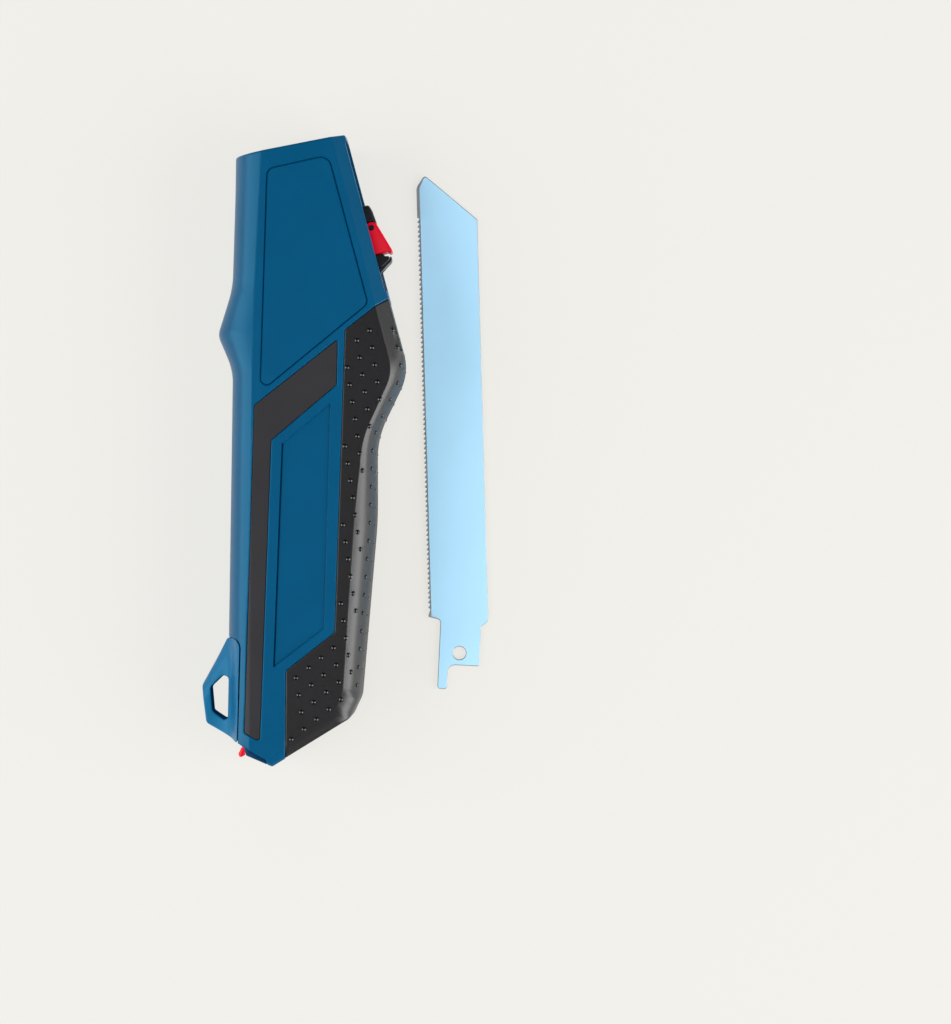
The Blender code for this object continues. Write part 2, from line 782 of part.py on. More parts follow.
def carriage(look):
    """A C-shaped block that carries the tang, with a neck out to the nose and the thumb hook."""
    inner = -BAY_INNER + FIT
    outer = -BAY_OUTER - FIT
    slot_half = SLOT_HALF - FIT
    bridge_outer = -BLADE_LINE + COLLAR_RADIUS + GUIDE_RIM
    bridge_top = BRIDGE_BOTTOM + BRIDGE_THICK
    section = (
        (outer, -SLAB_TOP - SLAB_THICK),
        (outer, -SLAB_TOP),
        (inner + SPINE_THICK, -SLAB_TOP),
        (inner + SPINE_THICK, BRIDGE_BOTTOM),
        (bridge_outer, BRIDGE_BOTTOM),
        (bridge_outer, bridge_top),
        (inner, bridge_top),
        (inner, -SLAB_TOP - SLAB_THICK),
    )
    piece = extrude("carriage", section, -CARRIAGE_BACK, CARRIAGE_FRONT, head_profile, look)
    neck_ends = (HOOK_PROFILE[0][0] + FIT, NOSE_PROFILE[1][0] - FIT)
    neck_outline = rectangle(neck_ends, (outer - FIT, -NECK_FLOOR))
    neck = extrude("carriage_neck", neck_outline, -slot_half + FIT, -SLAB_TOP - FIT, head)
    nose = extrude("carriage_nose", rounded(NOSE_PROFILE), -slot_half, slot_half, head)
    knuckle = ((-OUTSIDE, LEVER_KNUCKLE + FIT), (OUTSIDE, LEVER_KNUCKLE + FIT))
    cut(nose, rod("nose_knuckle_cut", (0.0, LEVER_PIN_OUT), knuckle, head, sides=KNUCKLE_SIDES))
    hook = extrude("carriage_hook", rounded(HOOK_PROFILE), -slot_half, slot_half, head)
    tongue_top = LEVER_PIN_OUT + TONGUE_RADIUS
    tongue_corners = (
        (-TONGUE_RADIUS, outer - WALL / 2, FIT),
        (TONGUE_RADIUS, outer - WALL / 2, FIT),
        (TONGUE_RADIUS, tongue_top, TONGUE_FILLET),
        (-TONGUE_RADIUS, tongue_top, TONGUE_FILLET),
    )
    tongue = extrude("carriage_tongue", rounded(tongue_corners), -TONGUE_HALF, TONGUE_HALF, head)
    join(piece, neck, nose, hook, tongue)
    peg_stations = ((-PEG_TIP - WALL, PEG_RADIUS + FIT), (OUTSIDE, PEG_RADIUS + FIT))
    peg_bore = rod("peg_bore_cut", peg_place(), peg_stations, head)
    pin_stations = ((-OUTSIDE, LEVER_PIN_RADIUS + FIT), (OUTSIDE, LEVER_PIN_RADIUS + FIT))
    pin_bore = rod("lever_pin_bore_cut", (0.0, LEVER_PIN_OUT), pin_stations, head, sides=12)
    cut(piece, peg_bore, pin_bore)
    move_origin(piece, head(0, 0, 0))
    return piece


def lever_ramp():
    """The rising rim under the peg's collar, an arc about the lever pin with its thin end leading."""
    pin = Vector((0.0, LEVER_PIN_OUT))
    reach = Vector(peg_place()) - pin
    outer = reach.length - PEG_RADIUS - 2 * FIT
    inner = outer - RAMP_WIDTH
    shadow = math.acos((reach.length**2 + outer**2 - COLLAR_RADIUS**2) / (2 * reach.length * outer))
    lead = math.atan2(-reach.x, -reach.y) - shadow - RAMP_CLEAR

    def on_arc(radius, angle):
        return (-radius * math.sin(angle), pin.y - radius * math.cos(angle))

    work = bmesh.new()
    rings = []
    for step in range(RAMP_STEPS + 1):
        share = step / RAMP_STEPS
        angle = lead - LEVER_SWING * share
        top = LEVER_CHEEK + RAMP_LEAD + PEG_LIFT * share
        ring = []
        for radius, height in ((inner, LEVER_CHEEK), (outer, LEVER_CHEEK), (outer, top), (inner, top)):
            ring.append(work.verts.new(head(*on_arc(radius, angle), height)))
        rings.append(ring)
    work.faces.new(rings[0])
    work.faces.new(rings[-1])
    for first, second in zip(rings, rings[1:]):
        for i in range(4):
            j = (i + 1) % 4
            work.faces.new((first[i], first[j], second[j], second[i]))
    middle = (inner + outer) / 2
    tail_place = on_arc(middle, lead - LEVER_SWING)
    near_place = on_arc(middle, lead - LEVER_SWING * RAMP_HELD)
    return finish_mesh("lever_ramp", work, None, twisted=True), tail_place, near_place


def lock_lever(look):
    piece = extrude("lock_lever", rounded(LEVER_PROFILE), -LEVER_HALF, LEVER_HALF, head, look)
    fork_reach = TONGUE_RADIUS + FIT
    fork_half = TONGUE_HALF + FIT
    fork_outline = rectangle((-fork_reach, 3 * fork_reach), (-3 * fork_reach, LEVER_PIN_OUT + fork_reach))
    fork = extrude("lever_fork_cut", fork_outline, -fork_half, fork_half, head)
    cut(piece, fork)
    ramp, tail_place, near_place = lever_ramp()
    hub = LEVER_PIN_RADIUS + 2 * FIT
    arm_corners = (
        (-hub, -FIT),
        (-hub, -NECK_FLOOR),
        near_place,
        tail_place,
        (hub, -2 * NECK_FLOOR),
        (hub, -FIT),
    )
    arm = extrude("lever_arm", arm_corners, LEVER_CHEEK + FIT / 3, LEVER_CHEEK + ARM_THICK, head)
    join(piece, arm, ramp)
    stations = ((-2 * LEVER_HALF, LEVER_PIN_RADIUS + FIT), (2 * LEVER_HALF, LEVER_PIN_RADIUS + FIT))
    cut(piece, rod("lever_bore_cut", (0.0, LEVER_PIN_OUT), stations, head, sides=12))
    move_origin(piece, head(0.0, LEVER_PIN_OUT, 0))
    return piece


def lever_pin(look):
    stations = ((-LEVER_HALF, LEVER_PIN_RADIUS), (LEVER_HALF, LEVER_PIN_RADIUS))
    piece = rod("lever_pin", (0.0, LEVER_PIN_OUT), stations, head, look, sides=12)
    shade(piece)
    return piece


def slot_strip(look):
    half = SLOT_HALF - 3 * FIT
    return extrude("slot_strip", ribbon(STRIP_ROUTE, FIT, FIT + STRIP_THICK), -half, half, head, look)


def lock_peg(look):
    collar = collar_bottom()
    stations = (
        (-PEG_TIP, PEG_RADIUS - PEG_CHAMFER),
        (-PEG_TIP + PEG_CHAMFER, PEG_RADIUS),
        (collar, PEG_RADIUS),
        (collar, COLLAR_RADIUS),
        (collar + COLLAR_THICK, COLLAR_RADIUS),
        (collar + COLLAR_THICK, PEG_RADIUS),
        (PEG_TOP, PEG_RADIUS),
    )
    piece = rod("lock_peg", peg_place(), stations, head, look)
    move_origin(piece, head(*peg_place(), 0))
    shade(piece)
    return piece


def coil(name, place_of, radius, wire, turns, length, look):
    """A compression spring as one unbroken tube; place_of turns (across, across, along) into a place."""
    points = []
    count = turns * COIL_POINTS
    for i in range(count + 1):
        angle = math.tau * i / COIL_POINTS
        points.append(place_of(radius * math.cos(angle), radius * math.sin(angle), length * i / count))
    gaps = []
    for i, here in enumerate(points):
        for there in points[i + COIL_POINTS // 2:]:
            gaps.append((there - here).length - wire)
    print(f"{name}: least gap between turns {min(gaps) * 1000:.2f} mm")
    curve = bpy.data.curves.new(name, 'CURVE')
    curve.dimensions = '3D'
    curve.bevel_depth = wire / 2
    curve.bevel_resolution = 1
    curve.use_fill_caps = True
    spline = curve.splines.new('POLY')
    spline.points.add(len(points) - 1)
    for slot, place in zip(spline.points, points):
        slot.co = (*place, 1.0)
    return new_object(name, curve, look)


def peg_spring(look):
    bottom = collar_bottom() + COLLAR_THICK + FIT + PEG_SPRING_WIRE / 2
    top = BRIDGE_BOTTOM - FIT - PEG_SPRING_WIRE / 2
    back, out = peg_place()

    def place(p, q, along):
        return head(back + p, out + q, bottom + along)

    sizes = (PEG_SPRING_RADIUS, PEG_SPRING_WIRE, PEG_SPRING_TURNS, top - bottom)
    return coil("peg_spring", place, *sizes, look)


def drag_spring(look):
    """A bowed leaf between the carriage and its bay, which keeps the carriage where it is put."""
    top = -SLAB_TOP - SLAB_THICK - FIT
    sag = BAY_LOW - FIT - LEAF_THICK + top
    middle = (CARRIAGE_FRONT - CARRIAGE_BACK) / 2
    upper = []
    for i in range(LEAF_STEPS + 1):
        share = 2 * i / LEAF_STEPS - 1
        upper.append(Vector((middle + share * LEAF_LENGTH / 2, top - sag * (1 - share * share))))
    lower = [point - Vector((0.0, LEAF_THICK)) for point in upper]
    across = (-BLADE_LINE - LEAF_WIDTH / 2, -BLADE_LINE + LEAF_WIDTH / 2)
    return extrude("drag_spring", upper + lower[::-1], *across, head_section, look)


# Pieces of the butt


def storage_lid(look):
    inner_face = LID_FACE + LID_THICK
    barrel = Vector(LID_HINGE)
    sweep = 1.5 * math.pi - math.asin((inner_face - barrel.y) / LID_BARREL_RADIUS)
    outline = [Vector((LID_END, LID_FACE))]
    for i in range(LID_BARREL_STEPS + 1):
        angle = -math.pi / 2 - sweep * i / LID_BARREL_STEPS
        outline.append(barrel + Vector((math.cos(angle), math.sin(angle))) * LID_BARREL_RADIUS)
    outline.append(Vector((LID_END, inner_face)))
    piece = extrude("storage_lid", outline, -LID_HALF, LID_HALF, end, look)
    slot_half = LATCH_HALF + FIT
    latch_slot = extrude(
        "latch_slot_cut",
        rectangle((LATCH_SLOT_START, LID_END + OUTSIDE), (-OUTSIDE, OUTSIDE)),
        -slot_half,
        slot_half,
        end,
    )
    bore = ((-OUTSIDE, LID_PIN_RADIUS + FIT), (OUTSIDE, LID_PIN_RADIUS + FIT))
    cut(piece, latch_slot, rod("lid_bore_cut", LID_HINGE, bore, end, sides=12))
    move_origin(piece, end(*LID_HINGE, 0))
    return piece


def lid_hinge_pin(look):
    reach = MID - LID_PIN_COVER
    stations = ((-reach, LID_PIN_RADIUS), (reach, LID_PIN_RADIUS))
    piece = rod("lid_hinge_pin", LID_HINGE, stations, end, look, sides=12)
    shade(piece)
    return piece


def lid_latch(look):
    inner_face = LID_FACE + LID_THICK
    flange_face = inner_face + FIT
    body = rectangle((LATCH_START, LATCH_BODY_END), (LID_FACE + FIT, flange_face - FIT / 2))
    piece = extrude("lid_latch", body, -LATCH_HALF, LATCH_HALF, end, look)
    stem_rise = flange_face + LATCH_FLANGE_THICK / 2
    stem = rectangle((LATCH_START + FIT, LATCH_FLANGE[1] - FIT), (inner_face / 2, stem_rise))
    flange = rectangle(LATCH_FLANGE, (flange_face, flange_face + LATCH_FLANGE_THICK))
    tongue = rectangle((LATCH_START + FIT, LATCH_TIP), (inner_face / 2, inner_face - FIT))
    join(
        piece,
        extrude("latch_stem", stem, -LATCH_HALF + FIT, LATCH_HALF - FIT, end),
        extrude("latch_flange", flange, -LATCH_FLANGE_HALF, LATCH_FLANGE_HALF, end),
        extrude("latch_tongue", tongue, -LATCH_HALF + 2 * FIT, LATCH_HALF - 2 * FIT, end),
        extrude("latch_knob", rounded(LATCH_KNOB), -LATCH_KNOB_HALF, LATCH_KNOB_HALF, end),
    )
    move_origin(piece, end(LATCH_START, LID_FACE, 0))
    return piece


def latch_spring(look):
    start = LATCH_SLOT_START + FIT + LATCH_SPRING_WIRE / 2
    stop = LATCH_START - FIT - LATCH_SPRING_WIRE / 2
    depth = LID_FACE + LID_THICK / 2

    def place(p, q, along):
        return end(start + along, depth + p, q)

    sizes = (LATCH_SPRING_RADIUS, LATCH_SPRING_WIRE, LATCH_SPRING_TURNS, stop - start)
    return coil("latch_spring", place, *sizes, look)


def loop_tab(grow):
    """The keyed tab at the top of the loop, held between the shells."""
    base = LOOP_OUTLINE[4][1]
    neck_left, neck_right = LOOP_TAB_NECK
    head_left, head_right = LOOP_TAB_HEAD
    shoulder = base + LOOP_TAB_NECK_HEIGHT
    top = shoulder + LOOP_TAB_HEAD_HEIGHT
    corners = (
        (neck_left - grow, base - WALL),
        (neck_right + grow, base - WALL),
        (neck_right + grow, shoulder - grow),
        (head_right + grow, shoulder - grow),
        (head_right + grow, top + grow),
        (head_left - grow, top + grow),
        (head_left - grow, shoulder - grow),
        (neck_left - grow, shoulder - grow),
    )
    return [Vector(corner) for corner in corners]


def hang_loop(look):
    piece = extrude("hang_loop", rounded(LOOP_OUTLINE, CORNER_STEPS), 0.0, BODY_THICK, look=look)
    top = [Vector((x, half)) for x, half in LOOP_TAPER]
    bottom = [Vector((x, -half)) for x, half in reversed(LOOP_TAPER)]

    def across(x, height, y):
        return Vector((x, y, MID + height))

    ends = (LOOP_OUTLINE[3][1] - WALL, LOOP_OUTLINE[4][1] + WALL)
    taper = extrude("loop_taper", top + bottom, *ends, across)
    combine(piece, taper, 'INTERSECT')
    join(piece, extrude("loop_tab", loop_tab(0.0), MID - LOOP_TAB_HALF, MID + LOOP_TAB_HALF))
    cut(piece, extrude("loop_hole_cut", rounded(LOOP_HOLE), -OUTSIDE, 2 * OUTSIDE))
    return piece


def screw(name, place, look):
    """A pan-head screw with a cross recess, its head at the lower shell."""
    top = SCREW_SEAT - SCREW_HEAD_HEIGHT
    stations = (
        (top, SCREW_HEAD_RADIUS - SCREW_CHAMFER),
        (top + SCREW_CHAMFER, SCREW_HEAD_RADIUS),
        (SCREW_SEAT, SCREW_HEAD_RADIUS),
        (SCREW_SEAT, SCREW_SHANK_RADIUS),
        (SCREW_SEAT + SCREW_LENGTH, SCREW_SHANK_RADIUS),
    )
    piece = rod(name, place, stations, look=look, sides=12)
    reach, half = SCREW_CROSS
    quarter = (Vector((half, -half)), Vector((reach, -half)), Vector((reach, half)))
    cross = []
    for step in range(4):
        swing = Matrix.Rotation(math.radians(90 * step), 2)
        cross.extend(Vector(place) + swing @ corner for corner in quarter)
    cut(piece, extrude(f"{name}_cross_cut", cross, top - OUTSIDE, top + SCREW_CROSS_DEPTH))
    shade(piece)
    return piece


# Saw blade


def saw_blade(look):
    half = BLADE_WIDTH / 2
    root = -half + BLADE_TOOTH_DEPTH
    tang_left = -BLADE_TANG_WIDTH / 2
    prong_right = tang_left + BLADE_PRONG_WIDTH
    prong_end = -BLADE_TANG_END - BLADE_PRONG_LENGTH
    tang_right = BLADE_TANG_WIDTH / 2
    lean = Matrix.Rotation(BLADE_TANG_LEAN, 2)

    def tang(up, across, radius):
        return (*(lean @ Vector((up, across))), radius)

    plain = [
        (BLADE_TOOTH_SHOULDER + BLADE_TOOTH_RISE, -half, BLADE_FILLET / 2),
        tang(BLADE_TOOTH_SHOULDER, tang_left, BLADE_SHOULDER_FILLET),
        tang(prong_end, tang_left, BLADE_FILLET),
        tang(prong_end, prong_right, BLADE_FILLET),
        tang(-BLADE_TANG_END, prong_right, BLADE_PRONG_FILLET),
        tang(-BLADE_TANG_END, tang_right, BLADE_FILLET / 2),
        tang(BLADE_SHOULDER, tang_right, BLADE_SHOULDER_FILLET),
        (BLADE_SHOULDER + BLADE_BACK_RISE, half, BLADE_FILLET),
        (BLADE_TIP - BLADE_TIP_SLOPE, half, BLADE_FILLET),
        (BLADE_TIP, BLADE_TIP_INSET - half, BLADE_FILLET),
        (BLADE_TIP - BLADE_NOSE_SLOPE, -half, BLADE_NOSE_FILLET),
    ]
    outline = rounded(plain)
    for i in reversed(range(BLADE_TOOTH_COUNT)):
        point = BLADE_TOOTH_START + (i + 1) * BLADE_TOOTH_PITCH
        outline.append(Vector((point, -half)))
        outline.append(Vector((point - BLADE_TOOTH_FACE, root)))
    piece = extrude("saw_blade", outline, 0.0, BLADE_THICK, blade, look)
    hole = ((-OUTSIDE, BLADE_HOLE_DIAMETER / 2), (OUTSIDE, BLADE_HOLE_DIAMETER / 2))
    cut(piece, rod("blade_hole_cut", (0.0, 0.0), hole, blade))
    move_origin(piece, blade(0, 0, 0))
    return piece


def main():
    clear_scene()
    blue = material("blue_plastic", (0, 88, 136), 0.45)
    rubber = material("black_rubber", (42, 42, 45), 0.8)
    grey_rubber = material("grey_rubber", (66, 62, 64), 0.8)
    black = material("black_plastic", (30, 30, 32), 0.5)
    red = material("red_plastic", (205, 12, 38), 0.4)
    steel = material("bright_steel", (190, 190, 192), 0.3, 1.0)
    dark_steel = material("dark_steel", (110, 112, 115), 0.35, 1.0)
    paint = material("blade_paint", (173, 217, 250), 0.45)

    shared = inside_cutters()
    shared.append(screw_cutter())
    for side_name, side in (("upper", 1), ("lower", -1)):
        shell(f"shell_{side_name}", side, blue, shared)
        grip_face(f"palm_grip_{side_name}", side, PALM_REGION, rubber)
        grip_face(f"finger_strip_{side_name}", side, STRIP_REGION, grey_rubber)
    for i, place in enumerate(SCREW_PLACES):
        screw(f"screw_{i + 1}", place, steel)
    hang_loop(blue)
    storage_lid(blue)
    lid_hinge_pin(steel)
    lid_latch(red)
    latch_spring(steel)
    nose_guide(black)
    carriage(black)
    lock_lever(red)
    lever_pin(black)
    slot_strip(dark_steel)
    lock_peg(steel)
    peg_spring(steel)
    drag_spring(dark_steel)
    saw_blade(paint)


main()
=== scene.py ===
"""Finished look of the multipurpose hand saw: fine surfaces, materials, floor, light and camera.

Metres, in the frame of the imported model: the saw lies on its side, +Y is its front and +X its palm side.
"""

import math

import bmesh
import bpy
import numpy as np
from mathutils import Matrix, Vector
from mathutils.bvhtree import BVHTree
from mathutils.geometry import delaunay_2d_cdt
from mathutils.interpolate import poly_3d_calc


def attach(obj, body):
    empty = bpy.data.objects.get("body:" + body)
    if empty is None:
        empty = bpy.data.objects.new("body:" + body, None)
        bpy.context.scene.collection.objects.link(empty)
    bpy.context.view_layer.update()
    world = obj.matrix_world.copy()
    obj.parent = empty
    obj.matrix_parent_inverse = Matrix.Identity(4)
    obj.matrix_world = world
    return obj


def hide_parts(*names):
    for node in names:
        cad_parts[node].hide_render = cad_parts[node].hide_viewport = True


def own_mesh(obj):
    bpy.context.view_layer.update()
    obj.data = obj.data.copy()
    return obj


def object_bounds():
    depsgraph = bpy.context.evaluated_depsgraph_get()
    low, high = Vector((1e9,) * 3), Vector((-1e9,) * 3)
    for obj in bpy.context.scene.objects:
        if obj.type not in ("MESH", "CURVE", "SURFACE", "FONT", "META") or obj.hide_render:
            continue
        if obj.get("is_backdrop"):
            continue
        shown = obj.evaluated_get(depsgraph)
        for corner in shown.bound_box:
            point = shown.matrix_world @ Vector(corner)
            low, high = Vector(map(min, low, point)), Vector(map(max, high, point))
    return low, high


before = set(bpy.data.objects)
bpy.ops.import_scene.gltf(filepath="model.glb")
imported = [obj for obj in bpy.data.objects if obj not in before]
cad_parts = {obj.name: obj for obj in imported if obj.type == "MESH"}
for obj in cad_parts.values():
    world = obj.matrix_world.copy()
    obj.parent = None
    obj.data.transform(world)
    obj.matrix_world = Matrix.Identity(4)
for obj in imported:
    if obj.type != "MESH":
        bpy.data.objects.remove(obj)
cad_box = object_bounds()

# Whole handle, as in the solids
BODY_THICK = 0.0300
PART_GAP = 0.0003
FIT = 0.0003
WALL = 0.0024
LEAST_FILLET_SHARE = 0.1
TINY = 1e-15
FRONT_SPARE = 0.0060
HANDLE_OUTLINE = (
    (-0.0191, 0.0278, 0.0005, 0.0),
    (-0.0202, -0.0086, 0.0300, 0.0),
    (-0.0245, -0.0217, 0.0050, 0.0),
    (-0.0201, -0.0316, 0.0180, 0.0),
    (-0.0217, -0.1377, 0.0020, 1.0),
    (-0.0079, -0.1437, 0.0008, 1.0),
    (0.0144, -0.1301, 0.0040, 0.5),
    (0.0171, -0.1243, 0.0060, 0.0),
    (0.0214, -0.0744, 0.1200, 0.0),
    (0.0213, -0.0508, 0.0250, 0.0),
    (0.0303, -0.0320, 0.0160, -1.0),
    (0.0126, 0.0340, 0.0005, 0.0),
)
FLAT_OUTLINE = (
    (-0.0111, 0.0264, 0.0010),
    (-0.0129, -0.0086, 0.0300),
    (-0.0132, -0.0217, 0.0300),
    (-0.0136, -0.0316, 0.0300),
    (-0.0144, -0.1385, 0.0010),
    (-0.0087, -0.1417, 0.0010),
    (0.0104, -0.1267, 0.0030),
    (0.0121, -0.1219, 0.0060),
    (0.0152, -0.0743, 0.1200),
    (0.0177, -0.0513, 0.0280),
    (0.0261, -0.0328, 0.0120),
    (0.0091, 0.0314, 0.0010),
)
# Sections from the edge of the flat (0, 1) out to the parting plane (1, 0). A corner's last number is 0 for
# the round one, 1 for the square one, which has a little draft, and -1 for the one with a plain slope
ROUND_SECTION = ((0.0, 1.0), (0.38, 0.92), (0.68, 0.77), (0.88, 0.55), (0.97, 0.28), (1.0, 0.0))
SQUARE_SECTION = ((0.0, 1.0), (0.5, 0.975), (0.85, 0.93), (0.97, 0.86), (0.985, 0.45), (1.0, 0.0))
SLOPED_SECTION = ((0.0, 1.0), (0.38, 0.912), (0.68, 0.842), (0.88, 0.793), (0.97, 0.70), (1.0, 0.0))
CREASE_SHARE = 0.07
CREASE_STEPS = 4
SECTION_STEPS = 4
ARC_STEPS = 12
RUN_STEP = 0.0030
RIM_WALL = 0.0002

# Soft grip faces, badge recess and panel groove
SEAT_DEPTH = 0.0012
RUBBER_SINK = 0.00015
RUBBER_SEAT_GAP = 0.00025
SEAM_HALF = 0.00006
SHELL_EDGE_ROUND = 0.00024
RUBBER_EDGE_ROUND = 0.00018
PALM_REGION = (
    (0.0126, -0.0209, 0.0010),
    (0.0097, -0.1058, 0.0010),
    (-0.0040, -0.1166, 0.0010),
    (-0.0043, -0.1600, 0.0010),
    (0.0450, -0.1600, 0.0010),
    (0.0450, 0.0010, 0.0010),
    (0.0207, -0.0146, 0.0010),
)
STRIP_REGION = (
    (0.0105, -0.0236, 0.0003),
    (-0.0129, -0.0421, 0.0010),
    (-0.0158, -0.1340, 0.0008),
    (-0.0113, -0.1365, 0.0008),
    (-0.0081, -0.0519, 0.0010),
    (0.0102, -0.0364, 0.0008),
)
BADGE_REGION = (
    (0.0087, -0.0412, 0.0004),
    (-0.0052, -0.0528, 0.0008),
    (-0.0076, -0.1158, 0.0004),
    (0.0069, -0.1047, 0.0008),
)
BADGE_DEPTH = 0.00045
BADGE_EDGE = 0.00024
BADGE_GROOVE = 0.00048
BADGE_GROOVE_DEPTH = 0.0010
PANEL_REGION = (
    (-0.0095, 0.0244, 0.0026),
    (-0.0115, -0.0390, 0.0020),
    (0.0193, -0.0137, 0.0025),
    (0.0081, 0.0283, 0.0032),
)
PANEL_GROOVE = 0.0005
PANEL_GROOVE_DEPTH = 0.00045
FRONT_ROUND = 0.00045
FRONT_LEAN = 0.0012
FRONT_LEAN_REACH = 0.0100
SEAM_ROUND = 0.00020
LOOP_SEAM_GAP = 0.00032
LOOP_STEPS = 5
LOOP_RUN = 0.0020
# Where lines run along an edge, groove or seam, as shares of its width
EDGE_SHARES = (0.0, 0.08, 0.3, 0.62, 1.0)
PANEL_SHARES = (-0.5, 0.0, 0.2, 0.5, 0.8, 1.0, 1.5)
BADGE_SHARES = (-1.0, 0.0, 0.3, 0.7, 1.0, 2.0, 4.0)
SEAM_SHARES = (0.0, 0.2, 0.5, 1.0, 2.0)
FRONT_SHARES = (0.0, 0.12, 0.4, 1.0, 1.6)
LOOP_SHARES = (0.0, 0.12, 0.4, 1.0, 2.0)
ROUND_SIDES = 32
FINE_SIDES = 48
SMOOTH_ANGLE = 40

# Raised dots on the palm grip
DOT_RADIUS = 0.00071
DOT_HEIGHT = 0.00050
DOT_SIDES = 12
DOT_RINGS = (1.12, 1.0, 0.92, 0.75, 0.5, 0.2)
DOT_CAP = 0.95
DOT_ORIGIN = (0.01317, -0.03153)
DOT_ROW = (0.000729, -0.004816)
DOT_NEXT = (0.004233, -0.002018)
DOT_COUNT = 26
DOT_LAST_COLUMN = 2
DOT_BARE = (24, -8)
DOT_MARGIN = 0.0009
DOT_END_MARGIN = 0.0003
DOT_SLOPE_TOP = -0.0195
DOT_LEAST_UPRIGHT = 0.60
DOT_LEAST_SQUEEZE = 0.15
DOT_LEVEL = 1e-4
# Share of the section, size and first place of each row of dots on the palm's slope
DOT_SLOPE_ROWS = ((0.74, 1.0, 0.0048), (0.93, 0.45, 0.0022))
DOT_SLOPE_STEP = 0.0051
DOT_CLEAR = 0.0018

# Inside of the handle
STORAGE_LEFT = -0.0152
STORAGE_DEPTH = 0.0054
STORAGE_SLACK = 0.0024
STORAGE_FRONT = 0.0140
SCREW_PLACES = (
    (-0.0130, 0.0212),
    (-0.0050, -0.0050),
    (0.0075, -0.0150),
    (0.0015, -0.0695),
    (0.0015, -0.0955),
    (-0.0067, -0.1240),
)
SCREW_SHANK_RADIUS = 0.00125
SCREW_HEAD_RADIUS = 0.0023
SCREW_HEAD_HEIGHT = 0.0018
SCREW_SEAT = 0.0045
SCREW_LENGTH = 0.0180
SCREW_DOME = 0.0007
SCREW_DOME_STEPS = 6
SCREW_CROSS = (0.0015, 0.0004)
SCREW_CROSS_DEPTH = 0.0009
THREAD_PITCH = 0.0011
THREAD_DEPTH = 0.0003
THREAD_TIP = 0.0025
THREAD_STEPS = 8
THREAD_POINT = 0.3
SCREW_SIDES = 24

# Head of the handle
LEVER_PIN_BACK = 0.0259
LEVER_PIN_OUT = 0.0002
SLOT_HALF = 0.0040
SLOT_LIP_BACK = 0.0007
SLOT_FRONT = 0.0245
SLOT_BACK = 0.0191
BLADE_LINE = 0.0130
BAY_OUTER = 0.0028
BAY_INNER = 0.0224
BAY_BACK = 0.0117
BAY_LOW = 0.0106
BAY_HIGH = 0.0043
PEG_BAY_HIGH = 0.0122
PEG_BAY_OUTER = 0.0072
GUIDE_DEPTH = 0.0034
GUIDE_RIM = 0.0016
GUIDE_MOUTH = 0.0054
GUIDE_FILLET = 0.0004
GUIDE_EDGE_ROUND = 0.0003
CARRIAGE_FRONT = 0.0035
CARRIAGE_BACK = 0.0095
SLAB_TOP = 0.0008
SLAB_THICK = 0.0062
BRIDGE_BOTTOM = 0.0086
BRIDGE_THICK = 0.0011
SPINE_THICK = 0.0025
TONGUE_HALF = 0.0013
TONGUE_RADIUS = 0.0013
TONGUE_FILLET = 0.0012
NOSE_PROFILE = (
    (0.0023, -0.0026, 0.0002),
    (0.0066, -0.0026, 0.0002),
    (0.00655, 0.00115, 0.0009),
    (0.0046, 0.0017, 0.0020),
    (0.0010, 0.0020, 0.0002),
)
HOOK_PROFILE = (
    (-0.0114, -0.0026, 0.0002),
    (-0.0081, -0.0026, 0.0002),
    (-0.0081, 0.0013, 0.0003),
    (-0.0090, 0.0017, 0.0003),
    (-0.0093, 0.0028, 0.0002),
    (-0.0100, 0.0027, 0.0003),
    (-0.0110, 0.0010, 0.0004),
    (-0.0114, 0.0002, 0.0002),
)
NOSE_EDGE_ROUND = 0.0009
HOOK_EDGE_ROUND = 0.0003
HOOK_FILL = 0.0002
NECK_FLOOR = 0.0021
STRIP_ROUTE = (
    (-0.0093, 0.0028),
    (-0.0100, 0.0027),
    (-0.0110, 0.0010),
    (-0.0121, -0.0012),
    (-0.0129, -0.0013),
    (-0.0177, -0.0013),
)
STRIP_BEND = 0.0006
STRIP_THICK = 0.0005

# Lock of the blade
LEVER_KNUCKLE = 0.00183
LEVER_PROFILE = (
    (0.0017, -0.0008, 0.0012),
    (LEVER_KNUCKLE, 0.00158, LEVER_KNUCKLE),
    (-0.0073, 0.0042, 0.0004),
    (-0.0080, 0.0043, 0.0003),
    (-0.0083, 0.0037, 0.0002),
    (-0.0077, 0.0029, 0.0002),
    (-0.0078, 0.0015, 0.0003),
    (-0.0077, -0.0009, 0.0003),
    (-0.0015, -0.0015, 0.0008),
)
LEVER_HALF = 0.0033
LEVER_EDGE_ROUND = 0.0004
LEVER_CHEEK = 0.0017
LEVER_SWING = math.radians(35.0)
LEVER_PIN_RADIUS = 0.0008
PIN_CHAMFER = 0.00015
PIN_CLEARANCE = 0.00004
KNUCKLE_CLEARANCE = 0.00015
ARM_THICK = 0.0008
RAMP_LEAD = 0.0006
RAMP_WIDTH = 0.0017
RAMP_STEPS = 14
RAMP_CLEAR = math.radians(1.0)
RAMP_HELD = 0.55
PEG_BACK = 0.0030
PEG_RADIUS = 0.00175
PEG_TIP = 0.0014
PEG_CHAMFER = 0.00045
PEG_LIFT = 0.0024
PEG_TOP = 0.0094
COLLAR_RADIUS = 0.0032
COLLAR_THICK = 0.0012
PEG_SPRING_RADIUS = 0.0026
PEG_SPRING_WIRE = 0.0004
PEG_SPRING_TURNS = 4
COIL_POINTS = 24
COIL_SIDES = 10

